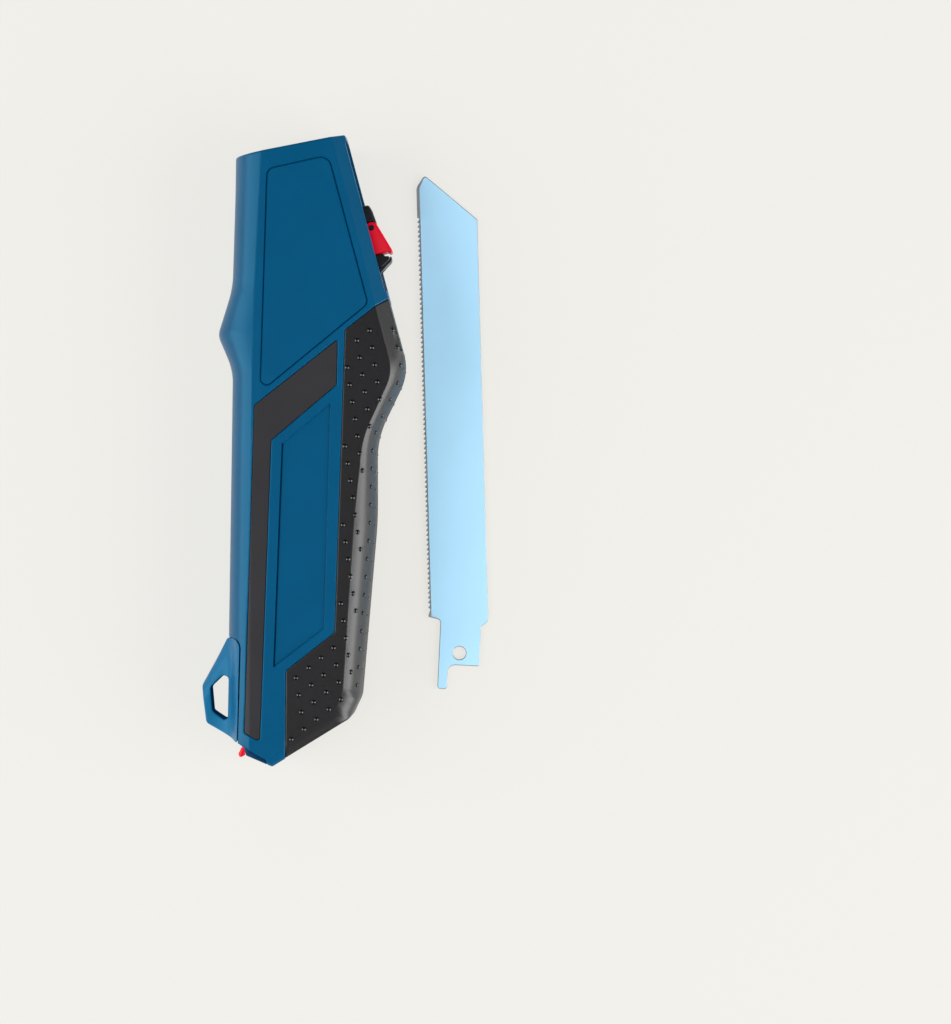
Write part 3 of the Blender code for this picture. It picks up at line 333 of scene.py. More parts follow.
# Butt of the handle
LID_HINGE = (0.0015, 0.0020)
LID_BARREL_RADIUS = 0.0018
LID_PIN_RADIUS = 0.0008
LID_PIN_COVER = 0.0015
LID_FACE = 0.0002
LID_THICK = 0.0024
LID_LAP = 0.0005
LID_END = 0.0109
LID_EDGE_ROUND = 0.0012
LID_SKIN = (0.0020, -0.0005)
LID_SLANT = 0.0027
LID_GROOVE = (0.0018, 0.0024)
LID_GROOVE_DEPTH = 0.0025
LID_BARREL_STEPS = 28
LID_BARREL_SIDES = 40
LID_PIN_SIDES = 24
LID_CHEEK_FACE = (0.00145, 0.0001)
LID_CHEEK = (0.0024, 0.0013)
LID_MOUTH_DEPTH = 0.0023
LID_NOTCH_END = 0.0116
LOOP_OUTLINE = (
    (-0.0214, -0.1078, 0.0010),
    (-0.0290, -0.1214, 0.0015),
    (-0.0276, -0.1321, 0.0015),
    (-0.0180, -0.1373, 0.0005),
    (-0.0171, -0.1078, 0.0025),
)
LOOP_HOLE = (
    (-0.0226, -0.1183, 0.0014),
    (-0.0264, -0.1220, 0.0012),
    (-0.0258, -0.1288, 0.0012),
    (-0.0213, -0.1320, 0.0010),
    (-0.0210, -0.1191, 0.0012),
)
LOOP_TAPER = ((-0.0160, 0.0136), (-0.0181, 0.0120), (-0.0213, 0.0052), (-0.0300, 0.0028))
LOOP_TAPER_STEPS = 6
LOOP_EDGE_ROUND = 0.0003
LOOP_HOLE_ROUND = 0.0003
LOOP_EYE_REACH = 0.00003
LOOP_SHOULDER_DROP = 0.0030
LOOP_SHOULDER_REACH = 0.0032
LOOP_SHOULDER_STEPS = 6
LOOP_SHOULDER_FADE = 0.0060
LATCH_HALF = 0.0027
LATCH_START = 0.0075
LATCH_BODY_END = 0.0098
LATCH_TIP = 0.0113
LATCH_TRAVEL = 0.0015
LATCH_KNOB = (
    (0.0090, 0.0008, 0.0003),
    (0.0090, -0.0017, 0.0006),
    (0.0097, -0.0026, 0.0006),
    (0.0105, -0.0027, 0.0007),
    (0.0109, -0.0019, 0.0008),
    (0.0107, 0.0008, 0.0003),
)
LATCH_KNOB_HALF = 0.0016
LATCH_KNOB_ROUND = 0.0007
LATCH_FLANGE = (0.0060, 0.0086)
LATCH_FLANGE_HALF = 0.0040
LATCH_FLANGE_THICK = 0.0007
LATCH_EDGE_ROUND = 0.0002
LATCH_SPRING_ROOM = 0.0020
LATCH_SPRING_RADIUS = 0.0007
LATCH_SPRING_WIRE = 0.0003
LATCH_SPRING_TURNS = 3
LOOP_TAB_NECK = (-0.0196, -0.0180)
LOOP_TAB_NECK_HEIGHT = 0.0025
LOOP_TAB_HEAD = (-0.0199, -0.0175)
LOOP_TAB_HEAD_HEIGHT = 0.0022
LOOP_TAB_HALF = 0.0040

# Saw blade, measured from its tang hole along its own length and across it, teeth at minus
BLADE_HOLE = (0.0445, -0.1133)
BLADE_LEAN = math.radians(1.6)
BLADE_THICK = 0.0009
BLADE_WIDTH = 0.0176
BLADE_TIP = 0.1400
BLADE_TIP_SLOPE = 0.0134
BLADE_TIP_INSET = 0.0025
BLADE_NOSE_SLOPE = 0.0035
BLADE_TOOTH_START = 0.0121
BLADE_TOOTH_PITCH = 0.00141
BLADE_TOOTH_COUNT = 82
BLADE_TOOTH_DEPTH = 0.0007
BLADE_TOOTH_FACE = 0.0004
BLADE_TANG_WIDTH = 0.0120
BLADE_TANG_LEAN = math.radians(4.3)
BLADE_TANG_END = 0.0036
BLADE_PRONG_LENGTH = 0.0071
BLADE_PRONG_WIDTH = 0.0029
BLADE_SHOULDER = 0.0080
BLADE_BACK_RISE = 0.0012
BLADE_TOOTH_SHOULDER = 0.0095
BLADE_TOOTH_RISE = 0.0013
BLADE_HOLE_DIAMETER = 0.0038
BLADE_FILLET = 0.0008
BLADE_SHOULDER_FILLET = 0.0012
BLADE_PRONG_FILLET = 0.0020
BLADE_NOSE_FILLET = 0.0030
BLADE_BARE = 0.00022
BLADE_CHAMFER = 0.00012
BLADE_SMOOTH_ANGLE = 12

# Derived places
MID = BODY_THICK / 2
PART_HALF = PART_GAP / 2
OUTSIDE = BODY_THICK
STORAGE_HALF = (BLADE_WIDTH + STORAGE_SLACK) / 2
LID_HALF = STORAGE_HALF + LID_LAP
LID_INNER = LID_FACE + LID_THICK
LATCH_SLOT_START = LATCH_START - LATCH_TRAVEL - LATCH_SPRING_ROOM
LEVER_PIN_PLACE = (0.0, LEVER_PIN_OUT)
PEG_PLACE = (-PEG_BACK, -BLADE_LINE)
COLLAR_BOTTOM = LEVER_CHEEK + RAMP_LEAD + FIT
GUIDE_HALF = GUIDE_MOUTH / 2 + GUIDE_RIM
GUIDE_OUTER = -BLADE_LINE + BLADE_WIDTH / 2 + FIT + GUIDE_RIM

# Looks. A moulded one has a colour, a roughness, its grain's scale and depth, a spread of tone, a sheen
# and the sheen's tint
PLAIN_TINT = (1.0, 1.0, 1.0)
BLUE_TINT = (0.22, 0.70, 1.0)
MOULDED = {
    "blue_plastic_look": ((0, 71, 108), 0.34, 5200.0, 0.000008, 0.04, 0.55, BLUE_TINT),
    # Partly painted light: the loop's blue is lighter than the shell's, partly its own tone and partly
    # standing in for the light on its tilted faces
    "loop_lit_plastic_look": ((4, 92, 134), 0.36, 5200.0, 0.000008, 0.04, 0.45, BLUE_TINT),
    # Painted shade: the hole's wall is matte, without sheen and a little darker than the loop, so that it
    # reads as shaded
    "loop_eye_shade_look": ((0, 84, 130), 0.60, 5200.0, 0.000008, 0.04, 0.0, PLAIN_TINT),
    # Painted shade: the lid's blue is darker than the shell's, so that its band below the shell's edge
    # reads as shaded
    "lid_shaded_plastic_look": ((0, 50, 84), 0.40, 5200.0, 0.000008, 0.04, 0.10, PLAIN_TINT),
    "black_rubber_look": ((10, 9, 13), 0.41, 4200.0, 0.00002, 0.08, 0.85, PLAIN_TINT),
    "rubber_dot_look": ((9, 9, 11), 0.22, 4200.0, 0.00001, 0.08, 0.8, PLAIN_TINT),
    "grey_rubber_look": ((37, 36, 40), 0.58, 4200.0, 0.00002, 0.06, 0.35, PLAIN_TINT),
    "black_plastic_look": ((26, 26, 28), 0.34, 4600.0, 0.00001, 0.08, 0.5, PLAIN_TINT),
    "red_plastic_look": ((228, 0, 38), 0.28, 5200.0, 0.000008, 0.04, 0.35, PLAIN_TINT),
    "blade_paint_look": ((174, 222, 250), 0.50, 3000.0, 0.00001, 0.012, 0.3, PLAIN_TINT),
}
# A brushed one has a colour, a roughness, the stretch of its lines, a spread of tone and a share of metal
BRUSHED = {
    "blade_edge_look": ((156, 163, 167), 0.40, (1.0, 0.1, 1.0), 0.06, 0.35),
    "bright_steel_look": ((190, 190, 192), 0.30, (1.0, 1.0, 0.1), 0.10, 1.0),
    "dark_steel_look": ((120, 121, 124), 0.34, (0.1, 1.0, 1.0), 0.10, 1.0),
}
# Looks of each slot, or of a piece that differs from its slot, in the order of the material numbers
LOOKS = {
    "blue_plastic": ("blue_plastic_look",),
    "hang_loop": ("loop_lit_plastic_look", "loop_eye_shade_look"),
    "storage_lid": ("lid_shaded_plastic_look",),
    "black_rubber": ("black_rubber_look", "rubber_dot_look"),
    "grey_rubber": ("grey_rubber_look",),
    "black_plastic": ("black_plastic_look",),
    "red_plastic": ("red_plastic_look",),
    "blade_paint": ("blade_paint_look", "blade_edge_look"),
    "bright_steel": ("bright_steel_look",),
    "dark_steel": ("dark_steel_look",),
}
NOISE_RANGE = (0.3, 0.7)
MOTTLE_DETAIL = 4.0
MOULDED_MOTTLE = 90.0
MOULDED_DETAIL = 2.0
MOULDED_SPREAD = (-0.05, 0.05)
MOULDED_STRENGTH = 0.5
BRUSHED_MOTTLE = 140.0
BRUSHED_LINES = 2600.0
BRUSHED_DETAIL = 3.0
BRUSHED_SPREAD = (-0.08, 0.10)
BRUSHED_STRENGTH = 0.3
BRUSHED_DEPTH = 0.00001

# Camera, floor and light
CAMERA_PLACE = (0.049193, -0.072038, 0.700)
VIEW_HEIGHT = 0.2999
SENSOR_MM = 36.0
CLIP_START = 0.01
FLOOR_SIZE = 12.0
FLOOR_DROP = 0.0005
FLOOR_MOTTLE = 2.0
FLOOR_ROUGHNESS = 0.9
FLOOR_COLOUR = (221, 220, 216)
BACKDROP_COLOUR = (239, 238, 233)
BACKDROP_SHARE = 0.82
WORLD_STRENGTH = 0.07
LIGHT_AIM = (0.02, -0.06, 0.0)
# Name, elevation and heading in degrees, distance, size, power, whether it shows in reflections
SOFTBOXES = (
    ("softbox_top", 90.0, 0.0, 1.6, (0.6, 0.6), 6.0, False),
    ("softbox_left", 32.0, 188.0, 1.1, (1.2, 1.1), 14.5, True),
    ("softbox_right", 27.0, 344.0, 1.1, (1.0, 1.1), 15.5, True),
    ("softbox_front", 26.0, 90.0, 1.1, (1.2, 0.8), 2.2, False),
    ("softbox_back", 26.0, 270.0, 1.1, (1.2, 0.8), 2.2, False),
)
PLANE_SCALE = 1000.0
SAME_PLACE = 1e-6


# Plane geometry


def plan(corner):
    return Vector(corner[:2])


def left(way):
    """A plane way turned a quarter to its left."""
    return Vector((-way[1], way[0]))


def neighbours(corners):
    """Each corner between the one before it and the one after it, round the outline."""
    return zip((*corners[-1:], *corners[:-1]), corners, (*corners[1:], *corners[:1]))


def line_offset_corner(before, corner, after, distance):
    """The corner moved so that both of its edges shift to their left by a distance."""
    first = left((plan(corner) - plan(before)).normalized())
    second = left((plan(after) - plan(corner)).normalized())
    return plan(corner) + (first + second) * (distance / (1 + first.dot(second)))


def turn(before, corner, after):
    first = plan(corner) - plan(before)
    second = plan(after) - plan(corner)
    return math.atan2(first.x * second.y - first.y * second.x, first.dot(second))


def inset(corners, distance):
    """A counter-clockwise outline drawn in by a distance, its fillets staying concentric."""
    moved = []
    for before, corner, after in neighbours(corners):
        place = line_offset_corner(before, corner, after, distance)
        convex = turn(before, corner, after) > 0
        radius = corner[2] - distance if convex else corner[2] + distance
        moved.append((*place, max(radius, LEAST_FILLET_SHARE * corner[2]), *corner[3:]))
    return moved


def corner_arcs(corners, steps):
    """For each x, y, radius corner, the points of its fillet."""
    arcs = []
    for before, corner, after in neighbours(corners):
        here = plan(corner)
        back = (plan(before) - here).normalized()
        ahead = (plan(after) - here).normalized()
        angle = turn(before, corner, after)
        reach = corner[2] * abs(math.tan(angle / 2))
        centre = here + (back + ahead).normalized() * corner[2] / max(math.cos(angle / 2), TINY)
        start = here + back * reach - centre
        swings = [Matrix.Rotation(angle * step / steps, 2) for step in range(steps + 1)]
        arcs.append([centre + swing @ start for swing in swings])
    return arcs


def rounded(corners, steps=LOOP_STEPS):
    return [point for arc in corner_arcs(corners, steps) for point in arc]


def rectangle(x_range, y_range):
    (x, x_end), (y, y_end) = x_range, y_range
    return [Vector(corner) for corner in ((x, y), (x_end, y), (x_end, y_end), (x, y_end))]


def circle(centre, radius, sides=ROUND_SIDES):
    turns = [math.tau * i / sides for i in range(sides)]
    return [Vector((centre[0] + radius * math.cos(t), centre[1] + radius * math.sin(t))) for t in turns]


def spaced(points, longest=LOOP_RUN, closed=True):
    """A line, and whether it is closed, with points added so that no step is longer than a limit."""
    stops = points[1:] + points[:1] if closed else points[1:]
    made = []
    for here, there in zip(points, stops):
        count = max(1, math.ceil((there - here).length / longest))
        made.extend(here.lerp(there, i / count) for i in range(count))
    return (made if closed else made + points[-1:]), closed


def region_loops(region, width, shares, steps=LOOP_STEPS):
    """Lines along a region's edge, drawn in by shares of a width."""
    return [spaced(rounded(inset(region, width * share), steps)) for share in shares]


def spline(points, steps):
    """Points of a smooth curve through the given ones."""
    stops = [np.array(point, float) for point in points]
    stops = [2 * stops[0] - stops[1], *stops, 2 * stops[-1] - stops[-2]]
    made = []
    for a, b, c, d in zip(stops, stops[1:], stops[2:], stops[3:]):
        for i in range(steps):
            t = i / steps
            bend = (2 * a - 5 * b + 4 * c - d) * t * t + (3 * b - a - 3 * c + d) * t**3
            made.append(b + 0.5 * ((c - a) * t + bend))
    made.append(stops[-2])
    return made


def depth_inside(outline, places):
    """Signed distance of places from a closed outline, positive inside it."""
    start = np.array(outline)
    edge = np.roll(start, -1, axis=0) - start
    length = np.maximum((edge**2).sum(1), TINY)
    offset = places[:, None, :] - start[None]
    share = np.clip((offset * edge).sum(2) / length, 0.0, 1.0)
    distance = np.sqrt(((offset - share[..., None] * edge) ** 2).sum(2).min(1))
    rises = start[None, :, 1] + edge[None, :, 1] > places[:, None, 1]
    crosses = (start[None, :, 1] > places[:, None, 1]) != rises
    slope = np.where(np.abs(edge[:, 1]) < TINY, TINY, edge[:, 1])
    reach = start[:, 0] + (places[:, None, 1] - start[:, 1]) * edge[:, 0] / slope
    odd = (crosses & (places[:, None, 0] < reach)).sum(1) % 2 == 1
    return np.where(odd, distance, -distance)


def within(region, places):
    return depth_inside(rounded(region), places)


def edge_drop(distance, radius):
    """How far a rounded edge has dropped at a distance in from it."""
    share = np.clip(1.0 - distance / radius, 0.0, 1.0)
    return radius * (1.0 - np.sqrt(1.0 - share**2))


def hollow(share):
    """Depth of a round groove at a share of its width, as a share of its full depth."""
    return np.clip(1 - (2 * share - 1) ** 2, 0, 1)


def triangulate(lines):
    """Places and counter-clockwise triangles over lines, which stay edges, and each place's first point."""
    points = []
    edges = []
    for line, closed in lines:
        first = len(points)
        points.extend(Vector((p[0], p[1])) * PLANE_SCALE for p in line)
        last = len(points) - 1
        edges.extend((i, i + 1) for i in range(first, last))
        if closed:
            edges.append((last, first))
    places, _, faces, sources, _, _ = delaunay_2d_cdt(points, edges, [], 0, SAME_PLACE)
    first_source = np.array([min(source) if source else -1 for source in sources])
    corners = np.array([tuple(face) for face in faces if len(face) == 3])
    return np.array([tuple(place) for place in places]) / PLANE_SCALE, corners, first_source


# Frames that outlines are drawn in

FRONT_FIRST = plan(HANDLE_OUTLINE[0])
FRONT_CORNER = plan(HANDLE_OUTLINE[-1])
FRONT_ALONG = (FRONT_CORNER - FRONT_FIRST).normalized()
FRONT_BACK = -left(FRONT_ALONG)
FORWARD = (FRONT_CORNER - plan(HANDLE_OUTLINE[-2])).normalized()
OUTWARD = -left(FORWARD)
HEAD_ORIGIN = FRONT_CORNER - FORWARD * LEVER_PIN_BACK
END_TIP = plan(HANDLE_OUTLINE[5])
END_ALONG = (plan(HANDLE_OUTLINE[4]) - END_TIP).normalized()
END_IN = -left(END_ALONG)
BLADE_UP = Vector((-math.sin(BLADE_LEAN), math.cos(BLADE_LEAN)))
BLADE_ACROSS = -left(BLADE_UP)
ORIGIN = Vector((0, 0))
ALONG_X = Vector((1, 0))
ALONG_Y = Vector((0, 1))


def frame_at(origin, first, second, base):
    """A frame that turns two plane coordinates and a height over a base into a place."""

    def place_of(p, q, height):
        return Vector((*(origin + first * p + second * q), base + height))

    return place_of


# Plan, up from the surface or from the parting plane
flat = frame_at(ORIGIN, ALONG_X, ALONG_Y, 0.0)
level = frame_at(ORIGIN, ALONG_X, ALONG_Y, MID)
# Along the thumb slot from the lever pin, out from the palm edge, up from the parting plane
head = frame_at(HEAD_ORIGIN, FORWARD, OUTWARD, MID)
# Along the lower end face from its tip, in from it, up from the parting plane
end = frame_at(END_TIP, END_ALONG, END_IN, MID)
# Along the blade from its tang hole, across it, up from its middle
blade = frame_at(Vector(BLADE_HOLE), BLADE_UP, BLADE_ACROSS, BLADE_THICK / 2)


def head_profile(out, height, forward):
    return head(forward, out, height)


# Meshes


def placed(name, content):
    made = bpy.data.objects.new(name, content)
    bpy.context.scene.collection.objects.link(made)
    return made


def new_piece(name, verts, faces):
    mesh = bpy.data.meshes.new(name)
    mesh.from_pydata([tuple(v) for v in verts], [], [tuple(f) for f in faces])
    mesh.validate()
    return placed(name, mesh)


def reworked(piece, *changes):
    """A piece without its loose points, after changes to its mesh, with its faces turned outwards."""
    work = bmesh.new()
    work.from_mesh(piece.data)
    bmesh.ops.delete(work, geom=[v for v in work.verts if not v.link_faces], context='VERTS')
    for make_change in changes:
        make_change(work)
    bmesh.ops.recalc_face_normals(work, faces=work.faces)
    work.to_mesh(piece.data)
    work.free()
    return piece


def split_faces(work):
    bmesh.ops.triangulate(work, faces=work.faces)


def skin(name, rings):
    """A closed piece through rings of as many points each."""
    sides = len(rings[0])
    verts = [place for ring in rings for place in ring]
    faces = [range(sides), range(len(verts) - sides, len(verts))]
    for low in range(0, len(verts) - sides, sides):
        for i in range(sides):
            j = (i + 1) % sides
            faces.append((low + i, low + j, low + sides + j, low + sides + i))
    return reworked(new_piece(name, verts, faces))


def extrude(name, outline, low, high, frame_of):
    """A straight solid over an outline, between two heights of a frame."""
    rings = [[frame_of(p[0], p[1], height) for p in outline] for height in (low, high)]
    return reworked(skin(name, rings), split_faces)


def slab(name, outline, half, frame_of):
    return extrude(name, outline, -half, half, frame_of)


def rod(name, centre, stations, frame_of, sides=ROUND_SIDES):
    """A turned solid about a line square to a frame: stations of height and radius."""
    rings = []
    for height, radius in stations:
        rings.append([frame_of(*p, height) for p in circle(centre, radius, sides)])
    return skin(name, rings)


def carve(piece, tools, operation='DIFFERENCE'):
    """Cut tools out of a piece, or join them to it."""
    for tool in tools:
        step = piece.modifiers.new(tool.name, 'BOOLEAN')
        step.operation = operation
        step.solver = 'MANIFOLD'
        step.object = tool
    graph = bpy.context.evaluated_depsgraph_get()
    made = bpy.data.meshes.new_from_object(piece.evaluated_get(graph))
    piece.modifiers.clear()
    piece.data = made
    piece.data.materials.clear()


def discard(pieces):
    for piece in pieces:
        bpy.data.objects.remove(piece, do_unlink=True)


def spend(piece, tools, operation='DIFFERENCE'):
    """Carve a piece with tools that aren't needed again."""
    carve(piece, tools, operation)
    discard(tools)


def dress(piece, body, slot, look=None, smooth=SMOOTH_ANGLE):
    """Shade a finished piece, give it its materials and put it on its body in place of its solid."""
    piece.data.shade_smooth()
    piece.data.set_sharp_from_angle(angle=math.radians(smooth))
    for material in looks[look or slot]:
        piece.data.materials.append(material)
    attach(piece, body)
    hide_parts(piece.name.removesuffix("_form"))


# Handle surface: rows of its section, with every seam, groove and dot laid on it


def lengthened(corners):
    """An outline whose two front corners run on past the front face, which is cut square afterwards."""
    first = plan(corners[0])
    last = plan(corners[-1])
    first += (first - plan(corners[1])).normalized() * FRONT_SPARE
    last += (last - plan(corners[-2])).normalized() * FRONT_SPARE
    return ((*first, *corners[0][2:]), *corners[1:-1], (*last, *corners[-1][2:]))


def section_rows():
    """Share out and rise of each section, from just inside the flat's edge to the parting plane."""
    corners = [(*a, *b, *c) for a, b, c in zip(ROUND_SECTION, SQUARE_SECTION, SLOPED_SECTION)]
    curve = spline(corners, SECTION_STEPS)
    rows = []
    for i in range(CREASE_STEPS + 1):
        share = CREASE_SHARE * (2 * i / CREASE_STEPS - 1)
        row = []
        for k in (0, 2, 4):
            slope = (corners[0][k + 1] - corners[1][k + 1]) / (corners[1][k] - corners[0][k])
            row.extend((share, 1 - slope * (share + CREASE_SHARE) ** 2 / (4 * CREASE_SHARE)))
        rows.append(row)
    rows.extend(row for row in curve if row[0] > CREASE_SHARE)
    return np.array(rows)


def handle_columns():
    """Rim point, flat-edge point and kind of section at each step round the handle."""
    rims = corner_arcs(lengthened(HANDLE_OUTLINE), ARC_STEPS)
    edges = corner_arcs(lengthened(FLAT_OUTLINE), ARC_STEPS)
    columns = []
    for i, corner in enumerate(HANDLE_OUTLINE):
        before = HANDLE_OUTLINE[i - 1][3]
        after = corner[3]
        for step in range(ARC_STEPS + 1):
            kind = before + (after - before) * step / ARC_STEPS
            columns.append((*rims[i][step], *edges[i][step], kind))
        following = (i + 1) % len(HANDLE_OUTLINE)
        start = np.array(columns[-1])
        stop = np.array((*rims[following][0], *edges[following][0], after))
        count = math.ceil(np.linalg.norm(stop[:2] - start[:2]) / RUN_STEP)
        columns.extend(tuple(start + (stop - start) * step / count) for step in range(1, count))
    return np.array(columns)


class HandleSurface:
    """The upper half's outer surface as a grid of section rows and columns round the handle."""

    def __init__(self):
        columns = handle_columns()
        rows = section_rows()
        kind = columns[None, :, 4]
        weights = (1 - np.abs(kind), np.maximum(kind, 0), np.maximum(-kind, 0))
        share = sum(rows[:, None, 2 * k] * weight for k, weight in enumerate(weights))
        rise = sum(rows[:, None, 2 * k + 1] * weight for k, weight in enumerate(weights))
        rim = columns[None, :, 0:2]
        edge = columns[None, :, 2:4]
        place = edge + (rim - edge) * share[..., None]
        height = MID + np.maximum(rise * MID, PART_HALF + RIM_WALL)
        self.grid = np.concatenate((place, height[..., None]), axis=2)
        around = np.roll(self.grid, -1, axis=1) - np.roll(self.grid, 1, axis=1)
        normals = np.cross(np.gradient(self.grid, axis=0), around)
        normals /= np.maximum(np.linalg.norm(normals, axis=2, keepdims=True), TINY)
        self.known = self.grid.reshape(-1, 3)
        self.normals = normals.reshape(-1, 3)
        self.points = [Vector(p) for p in self.known]
        self.faces = []
        count_rows, count = self.grid.shape[:2]
        for r in range(count_rows - 1):
            for c in range(count):
                a, b = r * count + c, r * count + (c + 1) % count
                self.faces.append((a, b, b + count))
                self.faces.append((a, b + count, a + count))
        self.tree = BVHTree.FromPolygons(self.points, self.faces)

    def rows(self):
        return [([plan(p) for p in row], True) for row in self.grid]

    def rim(self):
        return self.grid[-1, :, :2]

    def at(self, place):
        """Height and smooth normal of the surface over a plane place."""
        hit, _, index, _ = self.tree.ray_cast(Vector((*place, 2 * OUTSIDE)), Vector((0, 0, -1)))
        if hit is None:
            low = Vector((*place, MID + PART_HALF + RIM_WALL))
            hit, _, index, distance = self.tree.find_nearest(low)
            if distance > FIT:
                return BODY_THICK, Vector((0, 0, 1))
        corners = self.faces[index]
        weights = poly_3d_calc([self.points[c] for c in corners], hit)
        return hit.z, Vector(sum(w * self.normals[c] for w, c in zip(weights, corners))).normalized()

    def settle(self, places, sources):
        """Surface places and normals for triangulated places: those of the rows are known."""
        settled = np.empty((len(places), 3))
        facing = np.empty((len(places), 3))
        for i, (place, source) in enumerate(zip(places, sources)):
            if 0 <= source < len(self.known):
                settled[i] = self.known[source]
                facing[i] = self.normals[source]
            else:
                height, facing[i] = self.at(place)
                settled[i] = (*place, height)
        return settled, facing


def front_line(distance):
    """The front face's line in plan, moved back by a distance and running past both sides."""
    back = FRONT_BACK * distance
    past = FRONT_ALONG * FRONT_SPARE
    return [FRONT_FIRST - past + back, FRONT_CORNER + past + back]


def behind_front(places):
    return (places - np.array(FRONT_FIRST)) @ np.array(FRONT_BACK)


def loop_seam():
    """Region of the hanging loop, cut out of both shells."""
    seam_top = plan(LOOP_OUTLINE[4])
    below = 2 * plan(LOOP_OUTLINE[3]) - seam_top
    far = -2 * OUTSIDE
    region = ((*below, FIT), LOOP_OUTLINE[4], (far, seam_top.y, FIT), (far, below.y, FIT))
    return inset(region, -LOOP_SEAM_GAP)


class Dots:
    """Raised dots of the palm grip, each an ellipse in plan that is round on the surface."""

    def __init__(self, surface):
        self.surface = surface
        slope = []
        for share, size, start in DOT_SLOPE_ROWS:
            slope.extend((place, size) for place in self.slope_row(share, start))
        lattice = []
        for i in range(-DOT_COUNT, DOT_COUNT):
            for j in range(-DOT_COUNT, DOT_LAST_COLUMN + 1):
                if (i, j) != DOT_BARE:
                    lattice.append(Vector(DOT_ORIGIN) + Vector(DOT_ROW) * i + Vector(DOT_NEXT) * j)
        inside = depth_inside(surface.rim(), np.array(lattice)) > DOT_MARGIN
        places = self.on_palm([p for p, good in zip(lattice, inside) if good])
        clear = [p for p in places if all((p - q).length > DOT_CLEAR for q, _ in slope)]
        upright = [(p, 1.0) for p in clear if surface.at(p)[1].z > DOT_LEAST_UPRIGHT]
        self.centres = []
        for place, size in upright + slope:
            normal = surface.at(place)[1]
            down = plan(normal)
            down = down.normalized() if down.length > DOT_LEVEL else ALONG_X
            self.centres.append((place, down, max(normal.z, DOT_LEAST_SQUEEZE), size))

    def on_palm(self, places):
        """Those places that lie well inside the grip, on the flat's side of its lower end."""
        inside = within(PALM_REGION, np.array(places)) > DOT_MARGIN
        start = plan(FLAT_OUTLINE[5])
        way_in = left((plan(FLAT_OUTLINE[6]) - start).normalized())
        return [p for p, good in zip(places, inside) if good and (p - start).dot(way_in) > DOT_END_MARGIN]

    def slope_row(self, share, start):
        """Evenly spaced places along the palm's slope at a share of its section."""
        flat_edge = self.surface.grid[0, :, :2]
        line = [Vector(p) for p in flat_edge + (self.surface.rim() - flat_edge) * share]
        made = []
        travelled = start
        for here, there in zip(line, line[1:]):
            length = (there - here).length
            while travelled <= length:
                made.append(here.lerp(there, travelled / max(length, TINY)))
                travelled += DOT_SLOPE_STEP
            travelled -= length
        return self.on_palm([p for p in made if p.y < DOT_SLOPE_TOP])

    def loops(self):
        lines = []
        for place, down, squeeze, size in self.centres:
            for ring in DOT_RINGS:
                points = circle((0, 0), DOT_RADIUS * size * ring, DOT_SIDES)
                lines.append(([place + left(down) * p.x + down * p.y * squeeze for p in points], True))
        return lines

    def height(self, places):
        """How far the dots stand out of the surface at plane places."""
        rise = np.zeros(len(places))
        brim = math.sqrt(1.0 - DOT_CAP**2)
        for place, down, squeeze, size in self.centres:
            offset = places - np.array(place)
            near = np.abs(offset).max(1) < 2 * DOT_RADIUS
            across = offset[near] @ np.array(left(down))
            along = offset[near] @ np.array(down) / squeeze
            share = np.clip((across**2 + along**2) / (DOT_RADIUS * size) ** 2, 0.0, 1.0)
            dome = (np.sqrt(1.0 - DOT_CAP**2 * share) - brim) / (1.0 - brim)
            rise[near] = np.maximum(rise[near], DOT_HEIGHT * size * dome)
        return rise


def handle_lines(surface, dots):
    """Every line that the handle's triangles follow."""
    lines = surface.rows()
    shell_round = SEAM_HALF + SHELL_EDGE_ROUND
    rubber_round = SEAM_HALF + RUBBER_EDGE_ROUND
    grip = [-2 * shell_round, -shell_round, -SEAM_HALF - SHELL_EDGE_ROUND / 3, -SEAM_HALF]
    grip += [SEAM_HALF, SEAM_HALF + RUBBER_EDGE_ROUND / 3, rubber_round, 2 * rubber_round]
    lines += region_loops(PALM_REGION, 1.0, grip)
    lines += region_loops(STRIP_REGION, 1.0, grip)
    lines += region_loops(PANEL_REGION, PANEL_GROOVE, PANEL_SHARES)
    lines += region_loops(BADGE_REGION, BADGE_EDGE, BADGE_SHARES)
    lines += region_loops(loop_seam(), -SEAM_ROUND, SEAM_SHARES)
    lines += [spaced(front_line(FRONT_ROUND * share), closed=False) for share in FRONT_SHARES]
    return lines + dots.loops()


def edges_of(triangles):
    return [edge for a, b, c in triangles for edge in ((a, b), (b, c), (c, a))]


def wall_quads(inner, outer, shift):
    """Quads that join one set of triangles to another set's copies, along the edges that they share."""
    opposite = set(edges_of(outer))
    return [(b, a, a + shift, b + shift) for a, b in edges_of(inner) if (b, a) in opposite]


def boundary_quads(triangles, shift):
    """Quads down from the free edges of a set of triangles to their copies."""
    edges = edges_of(triangles)
    known = set(edges)
    return [(b, a, a + shift, b + shift) for a, b in edges if (b, a) not in known]


def close_to_parting(work):
    """Carry a surface's free edge down to the parting plane and close it there."""
    rim = [edge for edge in work.edges if edge.is_boundary]
    carried = bmesh.ops.extrude_edge_only(work, edges=rim)["geom"]
    for part in carried:
        if isinstance(part, bmesh.types.BMVert):
            part.co.z = MID + PART_HALF
    bottom = [edge for edge in work.edges if edge.is_boundary]
    bmesh.ops.holes_fill(work, edges=bottom, sides=0)
    bmesh.ops.triangulate(work, faces=[face for face in work.faces if len(face.verts) > 4])


def lean_front(piece):
    """Lean an upper half's front face, so that it stands further forward towards the parting plane."""
    for vertex in piece.data.vertices:
        behind = (plan(vertex.co) - FRONT_FIRST).dot(FRONT_BACK)
        lower = min(max(1 - (vertex.co.z - MID) / MID, 0.0), 1.0)
        near = min(max(1 - behind / FRONT_LEAN_REACH, 0.0), 1.0)
        vertex.co -= Vector((*FRONT_BACK, 0.0)) * FRONT_LEAN * lower * near


